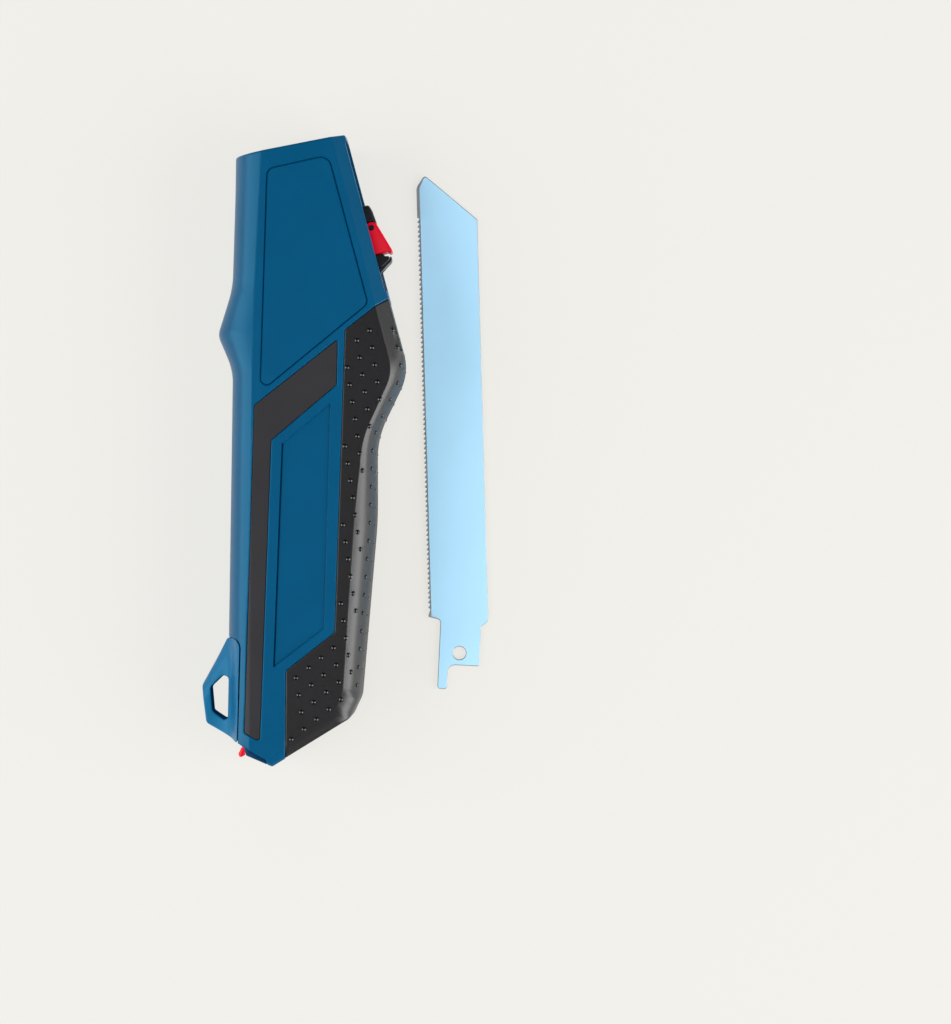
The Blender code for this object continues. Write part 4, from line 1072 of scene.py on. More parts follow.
def mirrored(name, piece):
    """The same piece on the other side of the parting plane."""
    mesh = piece.data.copy()
    mesh.transform(Matrix.Translation((0, 0, BODY_THICK)) @ Matrix.Scale(-1, 4, (0, 0, 1)))
    mesh.flip_normals()
    return placed(name, mesh)


def badge_groove(places):
    """The groove along the badge's left edge, as a share of its depth."""
    start = np.array(BADGE_REGION[1][:2])
    way = np.array(BADGE_REGION[2][:2]) - start
    length = np.linalg.norm(way)
    along = (places - start) @ way / length
    across = (places - start) @ np.array(left(way)) / length
    return np.where((along > 0) & (along < length), hollow(across / BADGE_GROOVE), 0.0)


def handle_halves():
    """Shell, palm grip and finger strip of the upper side, as closed forms."""
    surface = HandleSurface()
    dots = Dots(surface)
    places, triangles, sources = triangulate(handle_lines(surface, dots))
    settled, facing = surface.settle(places, sources)
    middle = places[triangles].mean(axis=1)
    kept = (depth_inside(surface.rim(), middle) > 0) & (behind_front(middle) > 0)
    kept &= within(loop_seam(), middle) < 0
    triangles = triangles[kept]
    soft = {
        "palm_grip_upper_form": within(PALM_REGION, middle[kept]),
        "finger_strip_upper_form": within(STRIP_REGION, middle[kept]),
    }
    on_shell = np.max(list(soft.values()), axis=0) < -SEAM_HALF

    to_rubber = np.maximum(within(PALM_REGION, places), within(STRIP_REGION, places))
    badge = np.clip(within(BADGE_REGION, places) / BADGE_EDGE, 0, 1)
    drops = (
        edge_drop(-to_rubber - SEAM_HALF, SHELL_EDGE_ROUND),
        PANEL_GROOVE_DEPTH * hollow(within(PANEL_REGION, places) / PANEL_GROOVE),
        BADGE_DEPTH * badge * badge * (3 - 2 * badge),
        BADGE_GROOVE_DEPTH * badge_groove(places) * (badge > 0),
        edge_drop(behind_front(places), FRONT_ROUND),
        edge_drop(-within(loop_seam(), places), SEAM_ROUND),
    )
    top = settled - facing * np.max(drops, axis=0)[:, None]
    seat = settled - facing * SEAT_DEPTH
    count = len(places)
    shell_faces = triangles[on_shell]
    seat_faces = triangles[~on_shell]
    faces = [*shell_faces, *(seat_faces + count), *wall_quads(shell_faces, seat_faces, count)]
    shell = new_piece("shell_upper_form", np.concatenate((top, seat)), faces)
    pieces = [reworked(shell, close_to_parting)]
    lean_front(shell)

    rubber_rise = dots.height(places) - RUBBER_SINK - edge_drop(to_rubber - SEAM_HALF, RUBBER_EDGE_ROUND)
    rubber_top = settled + facing * rubber_rise[:, None]
    rubber_back = settled - facing * (SEAT_DEPTH - RUBBER_SEAT_GAP)
    for name, depth in soft.items():
        own = triangles[depth > SEAM_HALF]
        faces = [*own, *(own[:, ::-1] + count), *boundary_quads(own, count)]
        pieces.append(reworked(new_piece(name, np.concatenate((rubber_top, rubber_back)), faces)))
    palm = pieces[1].data.polygons
    middles = np.array([tuple(face.center[:2]) for face in palm])
    palm.foreach_set("material_index", (dots.height(middles) > 0).astype(np.int32))
    return pieces


# Cutters that both shells share


def front_face(out):
    """How far forward the front face lies at a distance out from the palm edge."""
    way = FRONT_FIRST - FRONT_CORNER
    return LEVER_PIN_BACK + out * way.dot(FORWARD) / way.dot(OUTWARD)


GUIDE_BACK = front_face(GUIDE_OUTER) - GUIDE_DEPTH


def guide_outline(shrink, past):
    """Plan of the ring in the front face: drawn in by one distance, running past the face by another."""
    outer = GUIDE_OUTER - shrink
    inner = -2 * BLADE_LINE - outer
    back = GUIDE_BACK + shrink
    return (
        (back, inner),
        (front_face(inner) - FIT + past, inner),
        (front_face(outer) - FIT + past, outer),
        (back, outer),
    )


def loop_tab(grow):
    """The keyed tab at the top of the loop, held between the shells."""
    base = LOOP_OUTLINE[4][1]
    neck_left, neck_right = LOOP_TAB_NECK
    head_left, head_right = LOOP_TAB_HEAD
    shoulder = base + LOOP_TAB_NECK_HEIGHT
    top = shoulder + LOOP_TAB_HEAD_HEIGHT
    return (
        (neck_left - grow, base - WALL),
        (neck_right + grow, base - WALL),
        (neck_right + grow, shoulder - grow),
        (head_right + grow, shoulder - grow),
        (head_right + grow, top + grow),
        (head_left - grow, top + grow),
        (head_left - grow, shoulder - grow),
        (neck_left - grow, shoulder - grow),
    )


def inside_cutters():
    bay_front = GUIDE_BACK + FIT
    storage_sides = (STORAGE_LEFT, STORAGE_LEFT + STORAGE_DEPTH)
    storage = rectangle(storage_sides, (END_TIP.y - OUTSIDE, STORAGE_FRONT))
    bay = rectangle((-BAY_BACK, bay_front), (-BAY_INNER, -BAY_OUTER))
    peg_bay = rectangle((-BAY_BACK + FIT, bay_front - 2 * FIT), (-BAY_INNER + FIT / 2, -PEG_BAY_OUTER))
    slot = rectangle((-SLOT_BACK, SLOT_FRONT), (-BAY_OUTER - WALL, WALL))
    notch = rectangle((-OUTSIDE, LID_NOTCH_END), (-OUTSIDE, LID_INNER + FIT))
    mouth_end = LID_NOTCH_END + FIT
    mouth = [(LID_CHEEK_FACE[0], -OUTSIDE), (mouth_end, -OUTSIDE), (mouth_end, LID_MOUTH_DEPTH)]
    mouth += [LID_CHEEK, LID_CHEEK_FACE]
    barrel = circle(LID_HINGE, LID_BARREL_RADIUS + FIT, LID_BARREL_SIDES)
    hinge = circle(LID_HINGE, LID_PIN_RADIUS + FIT, LID_PIN_SIDES)
    cutters = [
        slab("storage_cut", storage, STORAGE_HALF, level),
        extrude("bay_cut", bay, -BAY_LOW, BAY_HIGH, head),
        extrude("peg_bay_cut", peg_bay, BAY_HIGH - WALL, PEG_BAY_HIGH, head),
        slab("slot_cut", slot, SLOT_HALF, head),
        slab("guide_cut", guide_outline(-FIT, OUTSIDE), GUIDE_HALF + FIT, head),
        slab("lid_notch_cut", notch, LID_HALF + FIT, end),
        slab("lid_mouth_cut", mouth, OUTSIDE, end),
        slab("lid_barrel_cut", barrel, LID_HALF + FIT, end),
        slab("lid_pin_cut", hinge, MID - LID_PIN_COVER + FIT, end),
        slab("loop_tab_cut", loop_tab(FIT), LOOP_TAB_HALF + FIT, level),
    ]
    stations = (
        (-OUTSIDE, SCREW_HEAD_RADIUS + FIT),
        (SCREW_SEAT + FIT, SCREW_HEAD_RADIUS + FIT),
        (SCREW_SEAT + FIT, SCREW_SHANK_RADIUS + FIT),
        (SCREW_SEAT + SCREW_LENGTH + FIT, SCREW_SHANK_RADIUS + FIT),
    )
    bores = [rod(f"screw_bore_{i}", place, stations, flat) for i, place in enumerate(SCREW_PLACES)]
    return cutters + bores


def handle():
    """Both shells with their soft grip faces."""
    upper = handle_halves()
    lower = [mirrored(piece.name.replace("upper", "lower"), piece) for piece in upper]
    cutters = inside_cutters()
    lip_outline = rectangle((-SLOT_BACK, SLOT_FRONT), (-SLOT_LIP_BACK, WALL))
    spend(upper[0], [extrude("slot_lip_cut", lip_outline, 0.0, OUTSIDE, head)])
    for shell, palm, strip in (upper, lower):
        carve(shell, cutters)
        dress(shell, "handle", "blue_plastic")
        dress(palm, "handle", "black_rubber")
        dress(strip, "handle", "grey_rubber")
    discard(cutters)


# Flat pieces


def plate(name, lines, outline, hole, rise, place_of):
    """A piece that is the same on both sides: an outline less its hole, at plus and minus a rise."""
    places, triangles, _ = triangulate(lines)
    middle = places[triangles].mean(axis=1)
    kept = depth_inside(outline, middle) > 0
    if hole:
        kept &= depth_inside(hole, middle) < 0
    triangles = triangles[kept]
    half = rise(places)
    verts = [place_of(*place, height) for place, height in zip(places, half)]
    verts += [place_of(*place, -height) for place, height in zip(places, half)]
    count = len(places)
    faces = [*triangles, *(triangles[:, ::-1] + count), *boundary_quads(triangles, count)]
    return reworked(new_piece(name, verts, faces))


def hang_loop():
    steps = 2 * LOOP_STEPS
    outline = rounded(LOOP_OUTLINE, steps)
    hole = rounded(LOOP_HOLE, steps)
    taper = np.array(spline(LOOP_TAPER, LOOP_TAPER_STEPS))[::-1]
    shoulder = plan(LOOP_OUTLINE[0])
    along = (plan(LOOP_OUTLINE[1]) - shoulder).normalized()
    way_in = left(along)

    def rise(places):
        half = np.interp(places[:, 0], taper[:, 0], taper[:, 1])
        half -= edge_drop(depth_inside(outline, places), LOOP_EDGE_ROUND)
        half -= edge_drop(-depth_inside(hole, places), LOOP_HOLE_ROUND)
        fade = np.clip((shoulder.y - places[:, 1]) / LOOP_SHOULDER_FADE, 0, 1)
        drop = edge_drop((places - np.array(shoulder)) @ np.array(way_in), LOOP_SHOULDER_REACH)
        return half - LOOP_SHOULDER_DROP * fade * drop / LOOP_SHOULDER_REACH

    lines = region_loops(LOOP_OUTLINE, LOOP_EDGE_ROUND, LOOP_SHARES, steps)
    lines += region_loops(LOOP_HOLE, -LOOP_HOLE_ROUND, LOOP_SHARES, steps)
    low, high = LOOP_OUTLINE[3][1] - WALL, LOOP_OUTLINE[4][1] + WALL
    for x in taper[:, 0]:
        lines.append(spaced([Vector((x, low)), Vector((x, high))], LOOP_RUN / 2, closed=False))
    for i in range(1, LOOP_SHOULDER_STEPS + 1):
        start = shoulder + way_in * LOOP_SHOULDER_REACH * (i / LOOP_SHOULDER_STEPS) ** 2
        lines.append(spaced([start - along * OUTSIDE, start + along * OUTSIDE], closed=False))
    piece = plate("hang_loop_form", lines, outline, hole, rise, level)
    spend(piece, [slab("loop_tab", loop_tab(0.0), LOOP_TAB_HALF, level)], 'UNION')
    # Faces of the hole's wall take the second look, which is painted shade
    for face in piece.data.polygons:
        face.material_index = int(depth_inside(hole, np.array([face.center[:2]]))[0] > -LOOP_EYE_REACH)
    dress(piece, "handle", "blue_plastic", look="hang_loop")


def blade_corners(tooth_edge):
    """Corners of the blade's plain outline, its toothed side at a distance across."""
    half = BLADE_WIDTH / 2
    tang_right = BLADE_TANG_WIDTH / 2
    tang_left = -tang_right
    prong_right = tang_left + BLADE_PRONG_WIDTH
    prong_end = -BLADE_TANG_END - BLADE_PRONG_LENGTH
    lean = Matrix.Rotation(BLADE_TANG_LEAN, 2)

    def tang(up, across, radius):
        return (*(lean @ Vector((up, across))), radius)

    return (
        (BLADE_TOOTH_SHOULDER + BLADE_TOOTH_RISE, tooth_edge, BLADE_FILLET / 2),
        tang(BLADE_TOOTH_SHOULDER, tang_left, BLADE_SHOULDER_FILLET),
        tang(prong_end, tang_left, BLADE_FILLET),
        tang(prong_end, prong_right, BLADE_FILLET),
        tang(-BLADE_TANG_END, prong_right, BLADE_PRONG_FILLET),
        tang(-BLADE_TANG_END, tang_right, BLADE_FILLET / 2),
        tang(BLADE_SHOULDER, tang_right, BLADE_SHOULDER_FILLET),
        (BLADE_SHOULDER + BLADE_BACK_RISE, half, BLADE_FILLET),
        (BLADE_TIP - BLADE_TIP_SLOPE, half, BLADE_FILLET),
        (BLADE_TIP, BLADE_TIP_INSET - half, BLADE_FILLET),
        (BLADE_TIP - BLADE_NOSE_SLOPE, tooth_edge, BLADE_NOSE_FILLET),
    )


def saw_blade():
    half = BLADE_WIDTH / 2
    root = -half + BLADE_TOOTH_DEPTH
    outline = rounded(blade_corners(-half))
    for i in reversed(range(BLADE_TOOTH_COUNT)):
        point = BLADE_TOOTH_START + (i + 1) * BLADE_TOOTH_PITCH
        outline += [Vector((point, -half)), Vector((point - BLADE_TOOTH_FACE, root))]
    painted = rounded(inset(blade_corners(root), -BLADE_BARE))
    hole = circle((0, 0), BLADE_HOLE_DIAMETER / 2, FINE_SIDES)
    hole_paint = circle((0, 0), BLADE_HOLE_DIAMETER / 2 + BLADE_BARE, FINE_SIDES)

    def rise(places):
        on_paint = np.minimum(depth_inside(painted, places), -depth_inside(hole_paint, places))
        return BLADE_THICK / 2 - BLADE_CHAMFER * np.clip(-on_paint / BLADE_BARE, 0, 1)

    lines = [spaced(line) for line in (outline, painted, hole, hole_paint)]
    piece = plate("saw_blade_form", lines, outline, hole, rise, blade)
    for face in piece.data.polygons:
        from_middle = abs(face.center.z - BLADE_THICK / 2)
        face.material_index = int(abs(from_middle - BLADE_THICK / 2) >= BLADE_CHAMFER / 100)
    dress(piece, "saw_blade", "blade_paint", smooth=BLADE_SMOOTH_ANGLE)


# Pieces of the head


def block(name, corners, half, rim, frame_of, steps=2 * LOOP_STEPS):
    """A prism over filleted corners, the same on both sides of a frame's middle, with rounded rims."""
    outline = rounded(corners, steps)

    def rise(places):
        return half - edge_drop(depth_inside(outline, places), rim)

    lines = [(rounded(inset(corners, rim * share), steps), True) for share in EDGE_SHARES]
    return plate(name, lines, outline, (), rise, frame_of)


def soft_corners(outline, radius):
    return [(*corner, radius) for corner in outline]


def pin(name, centre, radius, reach, frame_of):
    """A round pin with chamfered ends, the same length on both sides of a frame's middle."""
    stations = (
        (-reach, radius - PIN_CHAMFER),
        (-reach + PIN_CHAMFER, radius),
        (reach - PIN_CHAMFER, radius),
        (reach, radius - PIN_CHAMFER),
    )
    return rod(name, centre, stations, frame_of)


def bore(name, centre, radius, frame_of, clearance=PIN_CLEARANCE):
    return rod(name, centre, ((-OUTSIDE, radius + clearance), (OUTSIDE, radius + clearance)), frame_of)


def nose_guide():
    corners = soft_corners(guide_outline(0.0, 0.0), GUIDE_FILLET)
    piece = block("nose_guide_form", corners, GUIDE_HALF, GUIDE_EDGE_ROUND, head)
    half = BLADE_WIDTH / 2 + FIT
    outline = rectangle((-OUTSIDE, 2 * OUTSIDE), (-BLADE_LINE - half, -BLADE_LINE + half))
    spend(piece, [slab("guide_mouth_cut", outline, GUIDE_MOUTH / 2, head)])
    dress(piece, "handle", "black_plastic")


def carriage():
    """A C-shaped block that carries the tang, with a neck out to the nose and the thumb hook."""
    inner = -BAY_INNER + FIT
    outer = -BAY_OUTER - FIT
    slot_half = SLOT_HALF - FIT
    bridge_outer = -BLADE_LINE + COLLAR_RADIUS + GUIDE_RIM
    bridge_top = BRIDGE_BOTTOM + BRIDGE_THICK
    section = (
        (outer, -SLAB_TOP - SLAB_THICK),
        (outer, -SLAB_TOP),
        (inner + SPINE_THICK, -SLAB_TOP),
        (inner + SPINE_THICK, BRIDGE_BOTTOM),
        (bridge_outer, BRIDGE_BOTTOM),
        (bridge_outer, bridge_top),
        (inner, bridge_top),
        (inner, -SLAB_TOP - SLAB_THICK),
    )
    piece = extrude("carriage_form", section, -CARRIAGE_BACK, CARRIAGE_FRONT, head_profile)
    neck_ends = (HOOK_PROFILE[0][0] + FIT, NOSE_PROFILE[1][0] - FIT)
    neck_outline = rectangle(neck_ends, (outer - FIT, -NECK_FLOOR))
    neck = extrude("carriage_neck", neck_outline, -slot_half + FIT, -SLAB_TOP - FIT, head)
    nose = block("carriage_nose", NOSE_PROFILE, slot_half, NOSE_EDGE_ROUND, head)
    spend(nose, [bore("nose_knuckle_cut", LEVER_PIN_PLACE, LEVER_KNUCKLE, head, KNUCKLE_CLEARANCE)])
    hook = block("carriage_hook", inset(HOOK_PROFILE, -HOOK_FILL), slot_half, HOOK_EDGE_ROUND, head)
    tongue_top = LEVER_PIN_OUT + TONGUE_RADIUS
    tongue_corners = (
        (-TONGUE_RADIUS, outer - WALL / 2, FIT),
        (TONGUE_RADIUS, outer - WALL / 2, FIT),
        (TONGUE_RADIUS, tongue_top, TONGUE_FILLET),
        (-TONGUE_RADIUS, tongue_top, TONGUE_FILLET),
    )
    tongue = slab("carriage_tongue", rounded(tongue_corners), TONGUE_HALF, head)
    peg_stations = ((-PEG_TIP - WALL, PEG_RADIUS + FIT), (OUTSIDE, PEG_RADIUS + FIT))
    peg_bore = rod("peg_bore_cut", PEG_PLACE, peg_stations, head)
    pin_bore = bore("lever_pin_bore_cut", LEVER_PIN_PLACE, LEVER_PIN_RADIUS, head)
    spend(piece, [neck, nose, hook, tongue], 'UNION')
    spend(piece, [peg_bore, pin_bore])
    dress(piece, "carriage", "black_plastic")


def lever_ramp():
    """The rising rim under the peg's collar, an arc about the lever pin with its thin end leading."""
    middle = Vector(LEVER_PIN_PLACE)
    reach = Vector(PEG_PLACE) - middle
    outer = reach.length - PEG_RADIUS - 2 * FIT
    inner = outer - RAMP_WIDTH
    shadow = math.acos((reach.length**2 + outer**2 - COLLAR_RADIUS**2) / (2 * reach.length * outer))
    lead = math.atan2(-reach.x, -reach.y) - shadow - RAMP_CLEAR

    def on_arc(radius, angle):
        return (-radius * math.sin(angle), middle.y - radius * math.cos(angle))

    rings = []
    for step in range(RAMP_STEPS + 1):
        share = step / RAMP_STEPS
        angle = lead - LEVER_SWING * share
        top = LEVER_CHEEK + RAMP_LEAD + PEG_LIFT * share
        corners = ((inner, LEVER_CHEEK), (outer, LEVER_CHEEK), (outer, top), (inner, top))
        rings.append([head(*on_arc(radius, angle), height) for radius, height in corners])
    centre_line = (inner + outer) / 2
    tail = on_arc(centre_line, lead - LEVER_SWING)
    near = on_arc(centre_line, lead - LEVER_SWING * RAMP_HELD)
    return skin("lever_ramp", rings), tail, near


def lock_lever():
    piece = block("lock_lever_form", LEVER_PROFILE, LEVER_HALF, LEVER_EDGE_ROUND, head)
    fork_reach = TONGUE_RADIUS + FIT
    fork_outline = rectangle((-fork_reach, 3 * fork_reach), (-3 * fork_reach, LEVER_PIN_OUT + fork_reach))
    ramp, tail, near = lever_ramp()
    hub = LEVER_PIN_RADIUS + 2 * FIT
    arm_corners = ((-hub, -FIT), (-hub, -NECK_FLOOR), near, tail, (hub, -2 * NECK_FLOOR), (hub, -FIT))
    arm = extrude("lever_arm", arm_corners, LEVER_CHEEK + FIT / 3, LEVER_CHEEK + ARM_THICK, head)
    spend(piece, [slab("lever_fork_cut", fork_outline, TONGUE_HALF + FIT, head)])
    spend(piece, [arm, ramp], 'UNION')
    spend(piece, [bore("lever_bore_cut", LEVER_PIN_PLACE, LEVER_PIN_RADIUS, head)])
    dress(piece, "lock_lever", "red_plastic")
    held = pin("lever_pin_form", LEVER_PIN_PLACE, LEVER_PIN_RADIUS, LEVER_HALF, head)
    dress(held, "carriage", "black_plastic")


def slot_strip():
    """The bent strip behind the hook, its bends rounded."""
    arcs = corner_arcs(soft_corners(STRIP_ROUTE, STRIP_BEND), LOOP_STEPS)
    bends = [point for arc in arcs[1:-1] for point in arc]
    route = [Vector(STRIP_ROUTE[0]), *bends, Vector(STRIP_ROUTE[-1])]
    sides = []
    for distance in (FIT, FIT + STRIP_THICK):
        points = []
        for i, here in enumerate(route):
            before = route[i - 1] if i else here * 2 - route[i + 1]
            after = route[i + 1] if i + 1 < len(route) else here * 2 - before
            points.append(line_offset_corner(before, here, after, -distance))
        sides.append(points)
    piece = slab("slot_strip_form", sides[0] + sides[1][::-1], SLOT_HALF - 3 * FIT, head)
    dress(piece, "carriage", "dark_steel")


def lock_peg():
    collar = COLLAR_BOTTOM
    stations = (
        (-PEG_TIP, PEG_RADIUS - PEG_CHAMFER),
        (-PEG_TIP + PEG_CHAMFER, PEG_RADIUS),
        (collar, PEG_RADIUS),
        (collar, COLLAR_RADIUS - PIN_CHAMFER),
        (collar + PIN_CHAMFER, COLLAR_RADIUS),
        (collar + COLLAR_THICK - PIN_CHAMFER, COLLAR_RADIUS),
        (collar + COLLAR_THICK, COLLAR_RADIUS - PIN_CHAMFER),
        (collar + COLLAR_THICK, PEG_RADIUS),
        (PEG_TOP - PIN_CHAMFER, PEG_RADIUS),
        (PEG_TOP, PEG_RADIUS - PIN_CHAMFER),
    )
    piece = rod("lock_peg_form", PEG_PLACE, stations, head, FINE_SIDES)
    dress(piece, "lock_peg", "bright_steel")


# Pieces of the butt


def storage_lid():
    barrel = Vector(LID_HINGE)
    sweep = 1.5 * math.pi - math.asin((LID_INNER - barrel.y) / LID_BARREL_RADIUS)
    outline = [Vector((LID_END, LID_INNER))]
    for i in reversed(range(LID_BARREL_STEPS + 1)):
        angle = -math.pi / 2 - sweep * i / LID_BARREL_STEPS
        outline.append(barrel + Vector((math.cos(angle), math.sin(angle))) * LID_BARREL_RADIUS)
    outline += [Vector(LID_SKIN), Vector((LID_END - LID_SLANT, LID_SKIN[1]))]
    piece = block("storage_lid_form", soft_corners(outline, 0.0), LID_HALF, LID_EDGE_ROUND, end, steps=1)
    slot_outline = rectangle((LATCH_SLOT_START, LID_END + OUTSIDE), (-OUTSIDE, OUTSIDE))
    groove_outline = rectangle((LID_CHEEK[0], LID_END + OUTSIDE), LID_GROOVE)
    groove_floor = LID_HALF - LID_GROOVE_DEPTH
    cutters = [
        slab("latch_slot_cut", slot_outline, LATCH_HALF + FIT, end),
        bore("lid_bore_cut", LID_HINGE, LID_PIN_RADIUS, end),
        extrude("lid_upper_groove_cut", groove_outline, groove_floor, OUTSIDE, end),
        extrude("lid_lower_groove_cut", groove_outline, -OUTSIDE, -groove_floor, end),
    ]
    spend(piece, cutters)
    # The lid's darker blue is painted shade
    dress(piece, "storage_lid", "blue_plastic", look="storage_lid")
    hinge = pin("lid_hinge_pin_form", LID_HINGE, LID_PIN_RADIUS, MID - LID_PIN_COVER, end)
    dress(hinge, "handle", "bright_steel")


def lid_latch():
    flange_face = LID_INNER + FIT
    rim = LATCH_EDGE_ROUND
    body = rectangle((LATCH_START, LATCH_BODY_END), (LID_FACE + FIT, flange_face - FIT / 2))
    piece = block("lid_latch_form", soft_corners(body, rim), LATCH_HALF, rim, end)
    stem_rise = flange_face + LATCH_FLANGE_THICK / 2
    stem = rectangle((LATCH_START + FIT, LATCH_FLANGE[1] - FIT), (LID_INNER / 2, stem_rise))
    flange = rectangle(LATCH_FLANGE, (flange_face, flange_face + LATCH_FLANGE_THICK))
    tongue = rectangle((LATCH_START + FIT, LATCH_TIP), (LID_INNER / 2, LID_INNER - FIT))
    added = [
        slab("latch_stem", stem, LATCH_HALF - FIT, end),
        block("latch_flange", soft_corners(flange, rim), LATCH_FLANGE_HALF, rim, end),
        block("latch_tongue", soft_corners(tongue, rim), LATCH_HALF - 2 * FIT, rim, end),
        block("latch_knob", LATCH_KNOB, LATCH_KNOB_HALF, LATCH_KNOB_ROUND, end),
    ]
    spend(piece, added, 'UNION')
    dress(piece, "lid_latch", "red_plastic")


# Screws and springs


def screw(number, place):
    """A domed pan-head screw with a cross recess and a pointed thread, its head at the lower shell."""
    top = SCREW_SEAT - SCREW_HEAD_HEIGHT
    rings = []
    for i in range(1, SCREW_DOME_STEPS + 1):
        lean = math.pi / 2 * i / SCREW_DOME_STEPS
        height = top + SCREW_DOME * (1 - math.cos(lean))
        radius = SCREW_HEAD_RADIUS * math.sin(lean)
        rings.append([flat(*p, height) for p in circle(place, radius, SCREW_SIDES)])
    rings.append([flat(*p, SCREW_SEAT) for p in circle(place, SCREW_HEAD_RADIUS, SCREW_SIDES)])
    count = round(SCREW_LENGTH / THREAD_PITCH * THREAD_STEPS)
    for i in range(count + 1):
        reach = SCREW_LENGTH * i / count
        to_point = min((SCREW_LENGTH - reach) / THREAD_TIP, 1.0)
        taper = THREAD_POINT + (1 - THREAD_POINT) * to_point
        ring = []
        for j in range(SCREW_SIDES):
            wave = abs(2 * ((reach / THREAD_PITCH - j / SCREW_SIDES) % 1.0) - 1)
            radius = (SCREW_SHANK_RADIUS - THREAD_DEPTH * wave) * taper
            angle = math.tau * j / SCREW_SIDES
            across = Vector(place) + Vector((math.cos(angle), math.sin(angle))) * radius
            ring.append(flat(*across, SCREW_SEAT + reach))
        rings.append(ring)
    piece = skin(f"screw_{number}_form", rings)
    arm, half = SCREW_CROSS
    quarter = (Vector((half, -half)), Vector((arm, -half)), Vector((arm, half)))
    cross = []
    for step in range(4):
        swing = Matrix.Rotation(math.radians(90 * step), 2)
        cross.extend(Vector(place) + swing @ corner for corner in quarter)
    spend(piece, [extrude("screw_cross_cut", cross, top - OUTSIDE, top + SCREW_CROSS_DEPTH, flat)])
    dress(piece, "handle", "bright_steel")


def coil(name, place_of, radius, wire, turns, length):
    """A compression spring as one closed tube; place_of turns (across, across, along) into a place."""
    count = turns * COIL_POINTS
    path = []
    for i in range(count + 1):
        angle = math.tau * i / COIL_POINTS
        path.append(place_of(radius * math.cos(angle), radius * math.sin(angle), length * i / count))
    axis = (place_of(0, 0, 1) - place_of(0, 0, 0)).normalized()
    rings = []
    for i, here in enumerate(path):
        ahead = path[min(i + 1, count)] - path[max(i - 1, 0)]
        out = ahead.cross(axis).normalized()
        up = out.cross(ahead).normalized()
        section = circle((0, 0), wire / 2, COIL_SIDES)
        rings.append([here + out * corner.x + up * corner.y for corner in section])
    return skin(name, rings)


def springs():
    back, out = PEG_PLACE
    bottom = COLLAR_BOTTOM + COLLAR_THICK + FIT + PEG_SPRING_WIRE / 2
    top = BRIDGE_BOTTOM - FIT - PEG_SPRING_WIRE / 2

    def over_peg(p, q, along):
        return head(back + p, out + q, bottom + along)

    sizes = (PEG_SPRING_RADIUS, PEG_SPRING_WIRE, PEG_SPRING_TURNS, top - bottom)
    peg = coil("peg_spring_form", over_peg, *sizes)
    dress(peg, "carriage", "bright_steel")
    anchor = head(back, out, BRIDGE_BOTTOM - FIT)
    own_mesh(peg)

    start = LATCH_SLOT_START + FIT + LATCH_SPRING_WIRE / 2
    stop = LATCH_START - FIT - LATCH_SPRING_WIRE / 2
    depth = LID_FACE + LID_THICK / 2

    def in_lid(p, q, along):
        return end(start + along, depth + p, q)

    sizes = (LATCH_SPRING_RADIUS, LATCH_SPRING_WIRE, LATCH_SPRING_TURNS, stop - start)
    latch = coil("latch_spring_form", in_lid, *sizes)
    dress(latch, "storage_lid", "bright_steel")
    anchor = end(LATCH_SLOT_START + FIT, depth, 0)
    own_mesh(latch)


# Materials


def linear(red, green, blue):
    """Linear colour from 8-bit display values."""
    channels = []
    for value in (red, green, blue):
        share = value / 255
        channels.append(share / 12.92 if share <= 0.04045 else ((share + 0.055) / 1.055) ** 2.4)
    return (*channels, 1.0)


def tinted(colour, factor):
    return (*(min(channel * factor, 1.0) for channel in colour[:3]), 1.0)


